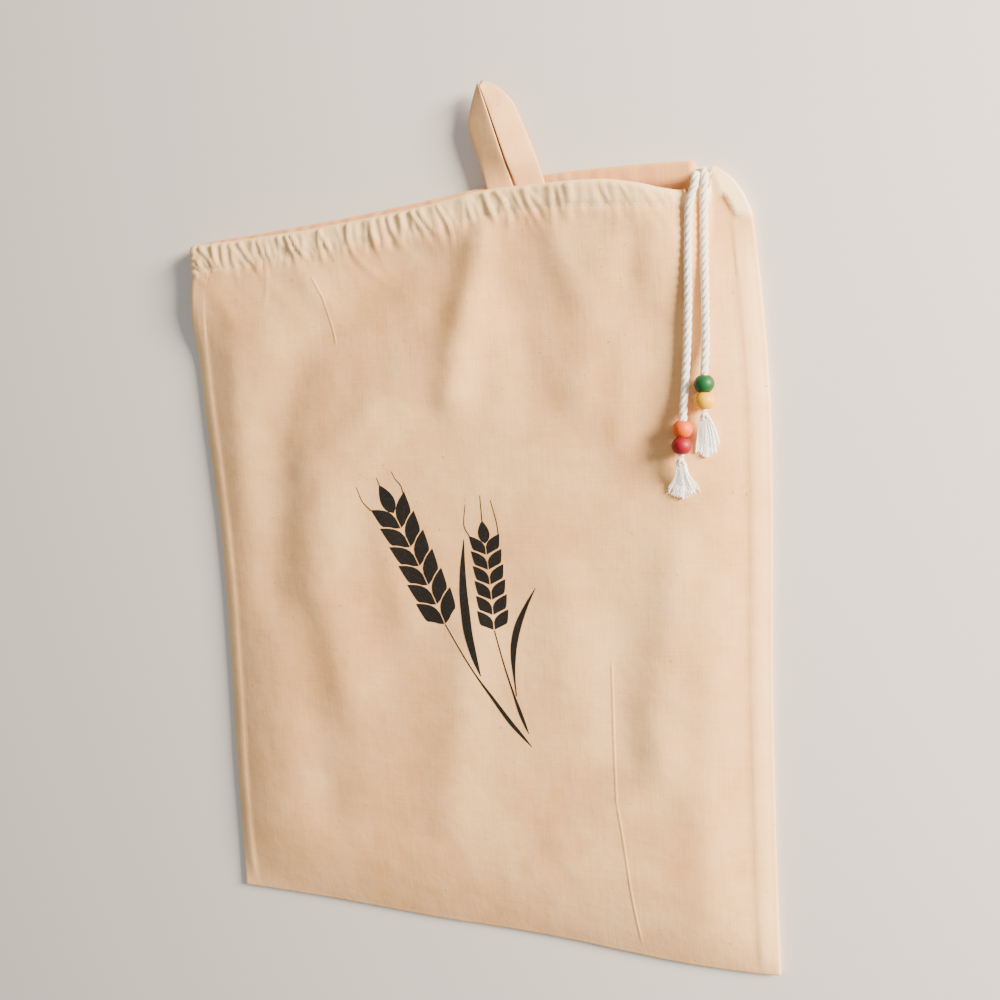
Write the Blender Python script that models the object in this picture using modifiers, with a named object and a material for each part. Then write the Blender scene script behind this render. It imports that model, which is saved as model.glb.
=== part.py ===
# Drawstring bread bag of unbleached linen, lying on its back.
# The mouth points to +Y, the right side seam to +X, and the floor is z = 0.
# Tables are in millimetres, and every other value is in metres.

import math

import bmesh
import bpy
from mathutils import Vector
from mathutils.bvhtree import BVHTree

MM = 0.001

# Cloth, and how far the panels lie apart at their edges and in the middle
CLOTH = 1.0 * MM
HALF = CLOTH / 2
EDGE_GAP = 2.6 * MM
BODY_GAP = 11.8 * MM
BOTTOM_LEVEL = -199.0 * MM

# The panels rise from their edges over these widths
LEFT_SLOPE = 52.0 * MM
RIGHT_SLOPE = 44.0 * MM
BOTTOM_SLOPE = 48.0 * MM

# The side edges open towards the mouth from a height y, over a length
LEFT_OPENS = (122.0 * MM, 62.0 * MM)
RIGHT_OPENS = (150.0 * MM, 40.0 * MM)
RIGHT_MOUTH_GAP = 3.2 * MM

# Seam allowance that lifts the cloth beside the side edges
SEAM_RISE = 0.5 * MM
SEAM_WIDTH = 7.5 * MM
SEAM_FADE = 3.0 * MM
SEAM_START = 8.0

# Room between pieces, and under what is laid on the cloth
GAP = 0.3 * MM
LAID_GAP = 0.55 * MM

# Drawstring and what is threaded on it
CORD_R = 2.0 * MM
SQUEEZED_R = 1.3 * MM
PLIES = 3
PLY_LEAD = 12.6 * MM
PLY_DEPTH = 0.3 * MM
BEAD_R = 5.0 * MM
BEAD_HALF_LENGTH = 3.8 * MM
BEAD_BORE_R = 2.45 * MM
BEAD_PROFILE_POINTS = 9
BEAD_STEPS = 18
RINGS_PER_TURN = 9
TAIL_SPACING = 3.4 * MM
RUN_GAP = 0.5 * MM
ABOVE = 100 * MM
PROBES = (-1.0, -0.8, -0.5, 0.0, 0.5, 0.8, 1.0)

# Knot at the end of each tail, and the strands of its frayed end
KNOT_HALF = (2.7 * MM, 2.2 * MM, 2.1 * MM)
KNOT_ROUND = 1.15
KNOT_SOFTNESS = 0.75
CELLS_ACROSS = 5
STRAND_INSET = 0.04
STRAND_SWAY = 0.25 * MM
STRAND_STEPS = ((0.45, 0.95), (1.0, 0.8))
TIP_DROP = 2.4 * MM
FLATTENING = 0.25
TASSEL_LEAN = Vector((0, -1.5, 0))
TASSELS = {
    # side: half width and length of the frayed end
    "left": (4.6 * MM, 15.5 * MM),
    "right": (3.6 * MM, 15.0 * MM),
}

# Casing: the hem is turned inwards and stitched this far below the mouth
TUNNEL_ROOM = 0.5 * MM
TUNNEL = 2 * SQUEEZED_R + 2 * TUNNEL_ROOM + CLOTH
FOLD_R = TUNNEL / 2
CORD_DEPTH = 5.6 * MM
STITCH_DEPTH = 14.0 * MM
PINCH = 1.6 * MM
PINCH_FROM = 8.0 * MM
PINCH_LENGTH = 6.0 * MM
HEM_BLEND = 50.0 * MM
CASING_END = 18.0 * MM
HEM_RIGHT_END = 126.0 * MM
PUCKER_MEAN = 0.62
PUCKER_SPREAD = 0.38
PUCKER_TURNS = (1.9, 0.7)
HEM_FOLD_STEPS = 4
HEM_BELOW_FOLD = [
    # depth, inward offset
    (FOLD_R, TUNNEL),
    (7.9 * MM, TUNNEL),
    (12.2 * MM, 2.1 * MM),
    (STITCH_DEPTH, 1.35 * MM),
    (16.0 * MM, 1.35 * MM),
]

# Hanging tape
TAPE = 1.2 * MM
TAPE_LIFT = 2.0 * MM
TAPE_RISE = 1.6 * MM
CROWN_BACK = 2.2 * MM
SLIT_BACK = 3.0 * MM
SLIT_SHARE = 0.66
ROLL_STEPS = 4

# Outline of the cloth, as height y along the side and the side's x
LEFT_EDGE = [
    # y, x
    (-199, -161.0),
    (-162, -160.3),
    (-123, -160.0),
    (-85, -158.6),
    (-47, -157.6),
    (-9, -156.8),
    (28, -157.2),
    (65, -158.8),
    (101, -160.8),
    (137, -161.8),
    (165, -160.0),
    (182, -157.6),
    (198, -156.6),
]
RIGHT_EDGE = [
    # y, x
    (-201, 162.9),
    (-154, 162.5),
    (-78, 163.1),
    (-34, 164.1),
    (24, 166.0),
    (81, 167.0),
    (136, 164.8),
    (155, 163.4),
    (166, 162.6),
    (173, 161.6),
    (178, 159.8),
    (183, 157.2),
    (188, 154.0),
    (192, 150.0),
    (195.5, 145.0),
]
BOTTOM_EDGE = [
    # x, y
    (-162, -198.0),
    (-99, -197.4),
    (-58, -198.0),
    (-19, -198.5),
    (18, -197.9),
    (53, -198.4),
    (86, -200.0),
    (117, -201.0),
    (147, -200.3),
    (164, -199.0),
]
FRONT_MOUTH = [
    # x, y
    (-158, 196.4),
    (-146, 194.6),
    (-118, 193.1),
    (-78, 192.4),
    (-46, 193.2),
    (-15, 194.5),
    (8, 196.2),
    (31, 199.0),
    (65, 197.2),
    (94, 194.4),
    (113, 189.6),
    (123, 186.2),
    (131, 184.6),
    (137, 187.4),
    (140, 189.0),
    (141.5, 190.6),
    (143.2, 197.6),
    (164, 197.6),
]
BACK_MOUTH = [
    # x, y
    (-158, 196.4),
    (-145, 197.9),
    (-117, 197.7),
    (-63, 198.2),
    (-13, 200.1),
    (33, 203.0),
    (65, 204.2),
    (106, 202.0),
    (134, 199.4),
    (140.5, 198.6),
    (146, 197.6),
    (164, 197.6),
]
# How far the front of the mouth stands above the back of it
MOUTH_GAP = [
    # x, gap
    (-158, 10.6),
    (-100, 11.2),
    (0, 12.4),
    (30, 13.2),
    (60, 14.8),
    (85, 17.0),
    (110, 17.4),
    (124, 15.6),
    (134, 12.0),
    (138, 9.6),
    (141, 6.2),
    (143.5, 3.2),
    (164, 2.6),
]
# Height of the puckers in the gathered casing
PUCKERS = [
    # x, height
    (-158, 0.3),
    (-140, 1.5),
    (-60, 1.8),
    (60, 1.6),
    (95, 0.8),
    (135, 0.2),
    (164, 0.0),
]
# Soft folds of the front panel, each along a line from one point to another
FOLDS = [
    # x0, y0, x1, y1, height, width
    (44, 178, 34, 150, 4.2, 11),
    (34, 150, 26, 128, 3.2, 11),
    (26, 128, 19, 104, 1.8, 12),
    (70, 176, 86, 146, 2.4, 9),
    (6, 176, -22, 132, -1.1, 14),
    (-22, 132, -72, 108, -1.1, 16),
    (-72, 108, -96, 55, -1.0, 16),
    (-96, 55, -106, 0, -0.9, 16),
    (-60, 70, -20, 62, 1.4, 20),
    (-122, 120, -130, 20, 1.6, 14),
    (95, 116, 96, 61, -1.0, 12),
    (94, -50, 105, -92, -1.2, 8),
    (20, -137, 57, -84, -0.9, 16),
    (60, 20, 120, -20, 1.0, 22),
    (-60, -60, -20, -150, 0.9, 20),
]
# Points of the free cord ends, seen from above, from the mouth to below the last bead
LEFT_TAIL = [
    # x, y, height above the cloth
    (137.6, 184.8, 0.2),
    (136.3, 181.2, 0.0),
    (134.9, 176.5, 0.0),
    (134.1, 168.0, 0.0),
    (133.4, 157.0, 0.0),
    (133.0, 145.0, 0.0),
    (132.6, 133.0, 0.0),
    (131.9, 121.0, 0.0),
    (131.1, 110.0, 0.0),
    (130.2, 99.0, 0.2),
    (129.3, 89.0, 1.2),
    (128.7, 81.0, 2.6),
    (128.2, 74.0, 3.1),
    (127.5, 66.1, 3.1),
    (127.1, 61.8, 3.0),
]
RIGHT_TAIL = [
    # x, y, height above the cloth
    (141.7, 186.2, 0.0),
    (141.3, 181.4, 0.0),
    (140.8, 174.0, 0.0),
    (140.6, 163.0, 0.0),
    (140.4, 152.0, 0.0),
    (140.3, 141.0, 0.0),
    (140.2, 130.0, 0.0),
    (140.0, 119.0, 0.2),
    (139.6, 109.0, 1.2),
    (139.1, 101.5, 2.6),
    (138.8, 94.6, 3.1),
    (138.7, 86.8, 3.1),
    (138.6, 82.4, 3.0),
]
# Where the cord leaves the casing and is turned over the mouth's edge
FRONT_RUN_END = [
    # x, y, z
    (126.3, 179.7, 13.0),
    (129.2, 179.6, 11.8),
    (131.8, 180.0, 10.5),
    (133.8, 181.0, 9.3),
    (135.4, 182.2, 8.1),
    (136.5, 184.8, 6.9),
    (137.2, 188.0, 6.8),
    (137.8, 190.2, 8.8),
    (138.0, 190.6, 11.6),
    (137.9, 189.0, 13.6),
]
BACK_RUN_END = [
    # x, y, z
    (135.6, 193.5, 2.8),
    (138.6, 193.8, 3.2),
    (140.0, 193.6, 5.2),
    (141.1, 192.2, 8.2),
    (141.8, 190.2, 10.0),
]
# Corners of the hanging tape, seen from above
TAPE_CORNERS = {
    "left foot": (33.4, 189.0),
    "left mouth": (33.0, 203.0),
    "left shoulder": (24.2, 236.2),
    "tip": (31.2, 254.6),
    "right shoulder": (50.2, 238.4),
    "right mouth": (64.2, 202.0),
    "right foot": (67.6, 189.0),
    "slit foot": (51.0, 189.0),
    "slit mouth": (47.6, 202.4),
}
SLIT = 1.0 * MM

# Colours, as linear red, green and blue
LINEN = (0.78, 0.62, 0.47)
TAPE_LINEN = (0.76, 0.60, 0.45)
COTTON = (0.90, 0.85, 0.76)
BEAD_PAINTS = {
    "bead_orange": (0.76, 0.13, 0.01),
    "bead_red": (0.48, 0.01, 0.03),
    "bead_green": (0.03, 0.19, 0.07),
    "bead_yellow": (0.80, 0.51, 0.05),
}

# Columns and rows of the cloth's surface
EDGE_STEPS = [0.0, 3.5, 7.5, 10.5]
MIDDLE_COLUMNS = 29
COARSE_LAST = MIDDLE_COLUMNS + 2 * (len(EDGE_STEPS) - 1)
FINE_LAST = 2 * COARSE_LAST
BACK_COLUMNS = 20
RIM_STEPS = 6
CORNER_STEPS = 3
STEPS_BETWEEN_POINTS = 12
CASING_ROWS = [FOLD_R, 6.3 * MM, 11.0 * MM, STITCH_DEPTH, CASING_END]
BODY_ROWS = [0.975, 0.945, 0.91, 0.87, 0.83, 0.785, 0.735, 0.68, 0.61,
             0.53, 0.44, 0.35, 0.26, 0.17, 0.10, 0.05, 0.015, 0.0]


def steady_read(table, at):
    """Read a two-column table at a place, on a smooth curve that never overshoots."""
    at = at / MM
    if at <= table[0][0]:
        return table[0][1] * MM
    if at >= table[-1][0]:
        return table[-1][1] * MM
    slopes = [(b[1] - a[1]) / (b[0] - a[0]) for a, b in zip(table, table[1:])]
    i = 0
    while table[i + 1][0] < at:
        i += 1

    def tangent(k):
        if k == 0 or k == len(slopes):
            return slopes[0] if k == 0 else slopes[-1]
        if slopes[k - 1] * slopes[k] <= 0:
            return 0.0
        return 2 * slopes[k - 1] * slopes[k] / (slopes[k - 1] + slopes[k])

    span = table[i + 1][0] - table[i][0]
    t = (at - table[i][0]) / span
    low, high = table[i][1], table[i + 1][1]
    value = (low * (1 + 2 * t) * (1 - t) ** 2 + high * t * t * (3 - 2 * t)
             + span * (tangent(i) * t * (1 - t) ** 2 - tangent(i + 1) * t * t * (1 - t)))
    return value * MM


def ease(t):
    """Smooth step from 0 to 1."""
    t = min(max(t, 0.0), 1.0)
    return t * t * (3 - 2 * t)


def mix(a, b, t):
    return a + (b - a) * t


def fold_relief(x, y):
    """Sum of the soft folds at a place on the front panel."""
    total = 0.0
    for x0, y0, x1, y1, height, width in FOLDS:
        ax, ay, bx, by = x0 * MM, y0 * MM, x1 * MM, y1 * MM
        length2 = (bx - ax) ** 2 + (by - ay) ** 2
        t = ((x - ax) * (bx - ax) + (y - ay) * (by - ay)) / length2
        t = min(max(t, 0.0), 1.0)
        away = math.hypot(x - mix(ax, bx, t), y - mix(ay, by, t)) / (width * MM)
        total += height * MM * math.exp(-away * away)
    return total


def left_gap(y):
    start, length = LEFT_OPENS
    return mix(EDGE_GAP, MOUTH_GAP[0][1] * MM, ease((y - start) / length))


def right_gap(y):
    start, length = RIGHT_OPENS
    return mix(EDGE_GAP, RIGHT_MOUTH_GAP, ease((y - start) / length))


def front_gap(x, y, depth):
    """Height of the front panel over the back one, where depth is the distance to the mouth."""
    left = steady_read(LEFT_EDGE, y) + left_gap(y) / 2 + HALF
    right = steady_read(RIGHT_EDGE, y) - right_gap(y) / 2 - HALF
    bottom = steady_read(BOTTOM_EDGE, x) + EDGE_GAP / 2 + HALF
    across = min(max((x - left) / (right - left), 0.0), 1.0)
    edge = mix(left_gap(y), right_gap(y), across)
    rise = 1.0
    for distance, reach in ((x - left, LEFT_SLOPE), (right - x, RIGHT_SLOPE),
                            (y - bottom, BOTTOM_SLOPE)):
        inside = min(max(distance / reach, 0.0), 1.0)
        rise *= 1 - (1 - inside) ** 2
    body = edge + (BODY_GAP - edge + fold_relief(x, y)) * rise
    seam = SEAM_RISE * (1 - ease((min(x - left, right - x) - SEAM_WIDTH) / SEAM_FADE))
    body += seam * min(1.0, rise * SEAM_START)
    roll = steady_read(MOUTH_GAP, x) - PINCH * ease((depth - PINCH_FROM) / PINCH_LENGTH)
    return mix(roll, body, ease((depth - STITCH_DEPTH) / HEM_BLEND))


def column_x(column, low, high):
    """Place of a coarse column, whole or half, between the side edges: closer at the seams."""
    last = COARSE_LAST
    steps = [step * MM for step in EDGE_STEPS]

    def whole(k):
        if k < len(steps):
            return low + steps[k]
        if k > last - len(steps):
            return high - steps[last - k]
        return mix(low + steps[-1], high - steps[-1], (k - len(steps) + 1) / MIDDLE_COLUMNS)

    floor = int(math.floor(column))
    return mix(whole(floor), whole(min(floor + 1, last)), column - floor)


def casing_side(depth, side):
    """Side boundary of the sheets in the casing, at a depth below the mouth."""
    if side == "left":
        y = FRONT_MOUTH[0][1] * MM - depth
        return steady_read(LEFT_EDGE, y) + HALF + front_gap(-1.0, y, depth) / 2
    y = FRONT_MOUTH[-1][1] * MM - depth
    return steady_read(RIGHT_EDGE, y) - HALF - front_gap(1.0, y, depth) / 2


def casing_point(column, depth, puckered=False):
    """Middle of the front cloth in the casing, without the turned hem."""
    x = column_x(column / 2, casing_side(depth, "left"), casing_side(depth, "right"))
    y = steady_read(FRONT_MOUTH, x) - depth
    z = HALF + front_gap(x, y, depth)
    if puckered:
        quick, slow = PUCKER_TURNS
        uneven = PUCKER_MEAN + PUCKER_SPREAD * math.sin(column * quick) * math.cos(column * slow)
        crest = steady_read(PUCKERS, x) * uneven * (column % 2)
        z += crest
    return Vector((x, y, z))


def back_point(column, depth):
    """Middle of the back cloth in the casing, which lies flat on the floor."""
    low = casing_side(depth, "left")
    high = casing_side(depth, "right")
    x = mix(low, high, column / BACK_COLUMNS)
    return Vector((x, steady_read(BACK_MOUTH, x) - depth, HALF))


def rim_arc(front, outward, gap):
    """Points of the half circle that turns the front sheet's edge under to the back sheet."""
    centre = front - Vector((0, 0, gap / 2))
    points = []
    for k in range(1, RIM_STEPS):
        turn = math.pi * k / RIM_STEPS
        points.append(centre + outward * (gap / 2 * math.sin(turn))
                      + Vector((0, 0, gap / 2 * math.cos(turn))))
    return points


def casing_arc(depth, side):
    """The casing's side from front to back: pairs of a point and the direction to the inside."""
    front = casing_point(0 if side < 0 else FINE_LAST, depth)
    back = back_point(0 if side < 0 else BACK_COLUMNS, depth)
    centre = (front.z + HALF) / 2
    pairs = []
    for k, point in enumerate(rim_arc(front, Vector((side, 0, 0)), front.z - HALF), 1):
        inward = Vector((front.x - point.x, 0, centre - point.z)).normalized()
        shift = (back.y - front.y) * k / RIM_STEPS
        pairs.append((point + Vector((0, shift, 0)), inward))
    return pairs


def casing_ring(depth, puckered=False):
    """Closed ring of the cloth at one depth: pairs of a point and the direction to the inside."""
    ring = []
    for column in range(FINE_LAST, -1, -1):
        ring.append((casing_point(column, depth, puckered), Vector((0, 0, -1))))
    ring += casing_arc(depth, -1)
    for column in range(BACK_COLUMNS + 1):
        ring.append((back_point(column, depth), Vector((0, 0, 1))))
    ring += casing_arc(depth, 1)[::-1]
    return ring


def hem_profile():
    """Depth and inward offset of the turned hem, from the fold to its stitched end."""
    profile = []
    for k in range(1, HEM_FOLD_STEPS):
        turn = math.pi * k / HEM_FOLD_STEPS
        profile.append((FOLD_R - FOLD_R * math.sin(turn), FOLD_R - FOLD_R * math.cos(turn)))
    return profile + HEM_BELOW_FOLD


def add_strip(mesh, upper, lower, closed=False):
    """Quads between two rows of as many vertices."""
    count = len(upper) if closed else len(upper) - 1
    for i in range(count):
        k = (i + 1) % len(upper)
        mesh.faces.new((upper[i], upper[k], lower[k], lower[i]))


def cloth_surface():
    """The bag's one cloth as an open surface: both panels, the rim and the hem."""
    mesh = bmesh.new()

    def add_row(points):
        return [mesh.verts.new(point) for point in points]

    rings = []
    for depth in CASING_ROWS:
        ring = casing_ring(depth, puckered=depth < CASING_END)
        rings.append(add_row([point for point, inward in ring]))
    for upper, lower in zip(rings, rings[1:]):
        add_strip(mesh, upper, lower, closed=True)
    ring_size = len(rings[0])

    # The turned hem is open at the right seam, where the cord comes out
    mouth = casing_ring(FOLD_R)
    hemmed = [i for i in range(ring_size) if mouth[i][0].x <= HEM_RIGHT_END
              and i < FINE_LAST + RIM_STEPS + BACK_COLUMNS + 1]
    above = [rings[0][i] for i in hemmed]
    for depth, offset in hem_profile():
        base = casing_ring(depth)
        below = add_row([base[i][0] + base[i][1] * offset for i in hemmed])
        add_strip(mesh, below, above)
        above = below

    # Front panel: half as many columns below the casing
    lowest = rings[-1]
    fine = lowest[:FINE_LAST + 1][::-1]
    rows = []
    for share in BODY_ROWS:
        level = mix(BOTTOM_LEVEL, FRONT_MOUTH[-1][1] * MM - CASING_END, share)
        low = steady_read(LEFT_EDGE, level) + HALF + left_gap(level) / 2
        high = steady_read(RIGHT_EDGE, level) - HALF - right_gap(level) / 2
        row = []
        for column in range(COARSE_LAST + 1):
            x = column_x(column, low, high)
            top = steady_read(FRONT_MOUTH, x) - CASING_END
            bottom = steady_read(BOTTOM_EDGE, x) + HALF + EDGE_GAP / 2
            y = mix(bottom, top, share)
            depth = steady_read(FRONT_MOUTH, x) - y
            row.append(Vector((x, y, HALF + front_gap(x, y, depth))))
        rows.append(row)
    body = [add_row(row) for row in rows]
    for k in range(COARSE_LAST):
        mesh.faces.new((fine[2 * k + 1], fine[2 * k], body[0][k], body[0][k + 1], fine[2 * k + 2]))
    for upper, lower in zip(body, body[1:]):
        add_strip(mesh, upper[::-1], lower[::-1])

    # Rim: a half circle at each station down the left, along the bottom and up the right
    stations = []
    for row, points in zip(body, rows):
        stations.append((row[0], points[0], Vector((-1, 0, 0))))
    for k in range(1, CORNER_STEPS):
        turn = math.pi / 2 * k / CORNER_STEPS
        stations.append((body[-1][0], rows[-1][0], Vector((-math.cos(turn), -math.sin(turn), 0))))
    for vertex, point in zip(body[-1], rows[-1]):
        stations.append((vertex, point, Vector((0, -1, 0))))
    for k in range(1, CORNER_STEPS):
        turn = math.pi / 2 * k / CORNER_STEPS
        stations.append((body[-1][-1], rows[-1][-1], Vector((math.sin(turn), -math.cos(turn), 0))))
    for row, points in zip(body[::-1], rows[::-1]):
        stations.append((row[-1], points[-1], Vector((1, 0, 0))))

    def ring_part(start, count):
        return [lowest[(start + i) % ring_size] for i in range(count)]

    previous = ring_part(FINE_LAST, RIM_STEPS + 1)
    back_edge = []
    for vertex, point, outward in stations:
        gap = point.z - HALF
        arc = [vertex] + add_row(rim_arc(point, outward, gap))
        if previous[0] is vertex:
            arc.append(previous[-1])
        else:
            arc.append(mesh.verts.new(point - Vector((0, 0, gap))))
            back_edge.append(arc[-1])
        for i in range(RIM_STEPS):
            corners = [previous[i], arc[i], arc[i + 1], previous[i + 1]]
            corners = [v for n, v in enumerate(corners) if v is not corners[n - 1]]
            mesh.faces.new(corners[::-1])
        previous = arc
    last = ring_part(FINE_LAST + RIM_STEPS + BACK_COLUMNS, RIM_STEPS + 1)[::-1]
    for i in range(RIM_STEPS):
        mesh.faces.new((previous[i + 1], last[i + 1], last[i], previous[i]))

    # Back panel: one flat face from the rim to the casing
    back_top = ring_part(FINE_LAST + RIM_STEPS, BACK_COLUMNS + 1)
    mesh.faces.new(back_edge[::-1] + back_top)
    bmesh.ops.recalc_face_normals(mesh, faces=mesh.faces)
    return mesh


def material(name, colour, roughness):
    paint = bpy.data.materials.new(name)
    paint.use_nodes = True
    shader = paint.node_tree.nodes["Principled BSDF"]
    shader.inputs["Base Color"].default_value = (*colour, 1.0)
    shader.inputs["Roughness"].default_value = roughness
    shader.inputs["Metallic"].default_value = 0.0
    return paint


def add_object(name, data, collection, paint):
    item = bpy.data.objects.new(name, data)
    collection.objects.link(item)
    data.materials.append(paint)
    return item


def object_from(name, mesh, collection, paint):
    data = bpy.data.meshes.new(name)
    mesh.to_mesh(data)
    mesh.free()
    data.shade_smooth()
    data.set_sharp_from_angle(angle=math.radians(50))
    return add_object(name, data, collection, paint)


def add_solidify(item, thickness):
    wall = item.modifiers.new("Thickness", "SOLIDIFY")
    wall.thickness = thickness
    wall.offset = 0.0
    wall.use_even_offset = True
    wall.use_rim = True


def make_bag(collection):
    """The cloth's solid, and its middle surface for laying things on."""
    surface = cloth_surface()
    cloth = BVHTree.FromBMesh(surface)
    bag = object_from("bag_cloth", surface, collection, material("linen", LINEN, 0.9))
    add_solidify(bag, CLOTH)
    return cloth


def smooth_route(points, spacing):
    """Evenly spaced places on the smooth curve through a route's points."""
    ends = [2 * points[0] - points[1]] + points + [2 * points[-1] - points[-2]]
    dense = []
    for p0, p1, p2, p3 in zip(ends, ends[1:], ends[2:], ends[3:]):
        for k in range(STEPS_BETWEEN_POINTS):
            t = k / STEPS_BETWEEN_POINTS
            dense.append(0.5 * (2 * p1 + (p2 - p0) * t + (2 * p0 - 5 * p1 + 4 * p2 - p3) * t * t
                                + (3 * p1 - p0 - 3 * p2 + p3) * t ** 3))
    dense.append(points[-1])
    walked = [0.0]
    for a, b in zip(dense, dense[1:]):
        walked.append(walked[-1] + (b - a).length)
    count = max(2, round(walked[-1] / spacing))
    places = []
    i = 0
    for k in range(count + 1):
        goal = walked[-1] * k / count
        while i < len(dense) - 2 and walked[i + 1] < goal:
            i += 1
        span = walked[i + 1] - walked[i]
        places.append(dense[i].lerp(dense[i + 1], (goal - walked[i]) / span))
    return places


def casing_route():
    """Middle of the drawstring in its tunnel, from the front end round to the back end."""
    offset = TUNNEL / 2
    route = []
    for column in range(FINE_LAST, -1, -2):
        point = casing_point(column, CORD_DEPTH)
        if point.x < FRONT_RUN_END[0][0] * MM:
            route.append(point - Vector((0, 0, offset)))
    for point, inward in casing_arc(CORD_DEPTH, -1):
        route.append(point + inward * offset)
    for column in range(BACK_COLUMNS + 1):
        point = back_point(column, CORD_DEPTH)
        if point.x < BACK_RUN_END[0][0] * MM:
            route.append(point + Vector((0, 0, offset)))
    return route


def make_casing_cord(collection, tails):
    """The cord round the mouth: hidden in its tunnel, and turned out over the edge at each end."""
    ends = {}
    for side, table in (("left", FRONT_RUN_END), ("right", BACK_RUN_END)):
        start, following = tails[side][:2]
        back = (start - following).normalized()
        meeting = [start + back * (RUN_GAP + CORD_R), start + back * RUN_GAP]
        ends[side] = [Vector(point) * MM for point in table] + meeting
    points = ends["left"][::-1] + casing_route() + ends["right"]
    curve = bpy.data.curves.new("drawstring_in_casing", "CURVE")
    curve.dimensions = "3D"
    curve.bevel_depth = SQUEEZED_R
    curve.bevel_resolution = 2
    curve.use_fill_caps = True
    spline = curve.splines.new("POLY")
    spline.points.add(len(points) - 1)
    for place, point in zip(spline.points, points):
        place.co = (*point, 1.0)
    add_object("drawstring_in_casing", curve, collection, material("cotton_cord", COTTON, 0.85))


def height_over(cloth, x, y, radius):
    """Lowest height at which a round thing clears the front panel's upper face."""
    height = 0.0
    for step in PROBES:
        for across in (Vector((1, 0, 0)), Vector((0, 1, 0))):
            place = Vector((x, y, ABOVE)) + across * step * radius
            hit, normal = cloth.ray_cast(place, Vector((0, 0, -1)))[:2]
            if hit is not None:
                wall = (HALF + LAID_GAP) / max(abs(normal.z), 0.5)
                height = max(height, hit.z + wall + radius * math.sqrt(1 - step * step))
    return height


def tail_route(cloth, table):
    """The free end's points in space: laid on the cloth, plus the stated lift."""
    flat = smooth_route([Vector(row) * MM for row in table], TAIL_SPACING)
    laid = [height_over(cloth, place.x, place.y, CORD_R) for place in flat]
    high = [max(laid[max(i - 1, 0):i + 2]) for i in range(len(laid))]
    route = []
    for i, place in enumerate(flat):
        near = high[max(i - 1, 0):i + 2]
        route.append(Vector((place.x, place.y, sum(near) / len(near) + place.z)))
    return route


def sweep_frames(places):
    """Direction, side and up vectors at each place of a route that runs along the cloth."""
    frames = []
    for i, place in enumerate(places):
        ahead = places[min(i + 1, len(places) - 1)] - places[max(i - 1, 0)]
        ahead.normalize()
        side = ahead.cross(Vector((0, 0, 1))).normalized()
        frames.append((place, ahead, side, side.cross(ahead)))
    return frames


def make_twisted_tail(name, route, collection, paint):
    """A laid cord: six-sided, with a raised side for each ply, turned along its length."""
    places = smooth_route(route, PLY_LEAD / RINGS_PER_TURN)
    mesh = bmesh.new()
    rings = []
    walked = 0.0
    before = places[0]
    for place, ahead, side, up in sweep_frames(places):
        walked += (place - before).length
        before = place
        twist = 2 * math.pi * walked / PLY_LEAD
        ring = []
        for k in range(2 * PLIES):
            turn = twist + math.pi * k / PLIES
            radius = CORD_R - PLY_DEPTH * (k % 2)
            ring.append(mesh.verts.new(place + side * (radius * math.cos(turn))
                                       + up * (radius * math.sin(turn))))
        rings.append(ring)
    for upper, lower in zip(rings, rings[1:]):
        add_strip(mesh, upper, lower, closed=True)
    mesh.faces.new(rings[0][::-1])
    mesh.faces.new(rings[-1])
    bmesh.ops.recalc_face_normals(mesh, faces=mesh.faces)
    object_from(name, mesh, collection, paint)


def make_bead(name, centre, along, collection):
    """A round wooden bead with a bore, turned from its profile about the cord."""
    mesh = bmesh.new()
    start = math.asin(BEAD_BORE_R / BEAD_R)
    profile = []
    for k in range(BEAD_PROFILE_POINTS):
        turn = mix(start, math.pi - start, k / (BEAD_PROFILE_POINTS - 1))
        profile.append((BEAD_R * math.sin(turn), BEAD_HALF_LENGTH * math.cos(turn)))
    ring = [mesh.verts.new((radius, 0, height)) for radius, height in profile]
    for a, b in zip(ring, ring[1:] + ring[:1]):
        mesh.edges.new((a, b))
    bead = object_from(name, mesh, collection, material(name + "_paint", BEAD_PAINTS[name], 0.35))
    turning = bead.modifiers.new("Turning", "SCREW")
    turning.angle = 2 * math.pi
    turning.steps = BEAD_STEPS
    turning.render_steps = BEAD_STEPS
    turning.use_merge_vertices = True
    turning.merge_threshold = 0.00001
    bead.location = centre
    bead.rotation_mode = "QUATERNION"
    bead.rotation_quaternion = Vector((0, 0, 1)).rotation_difference(along)


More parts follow.
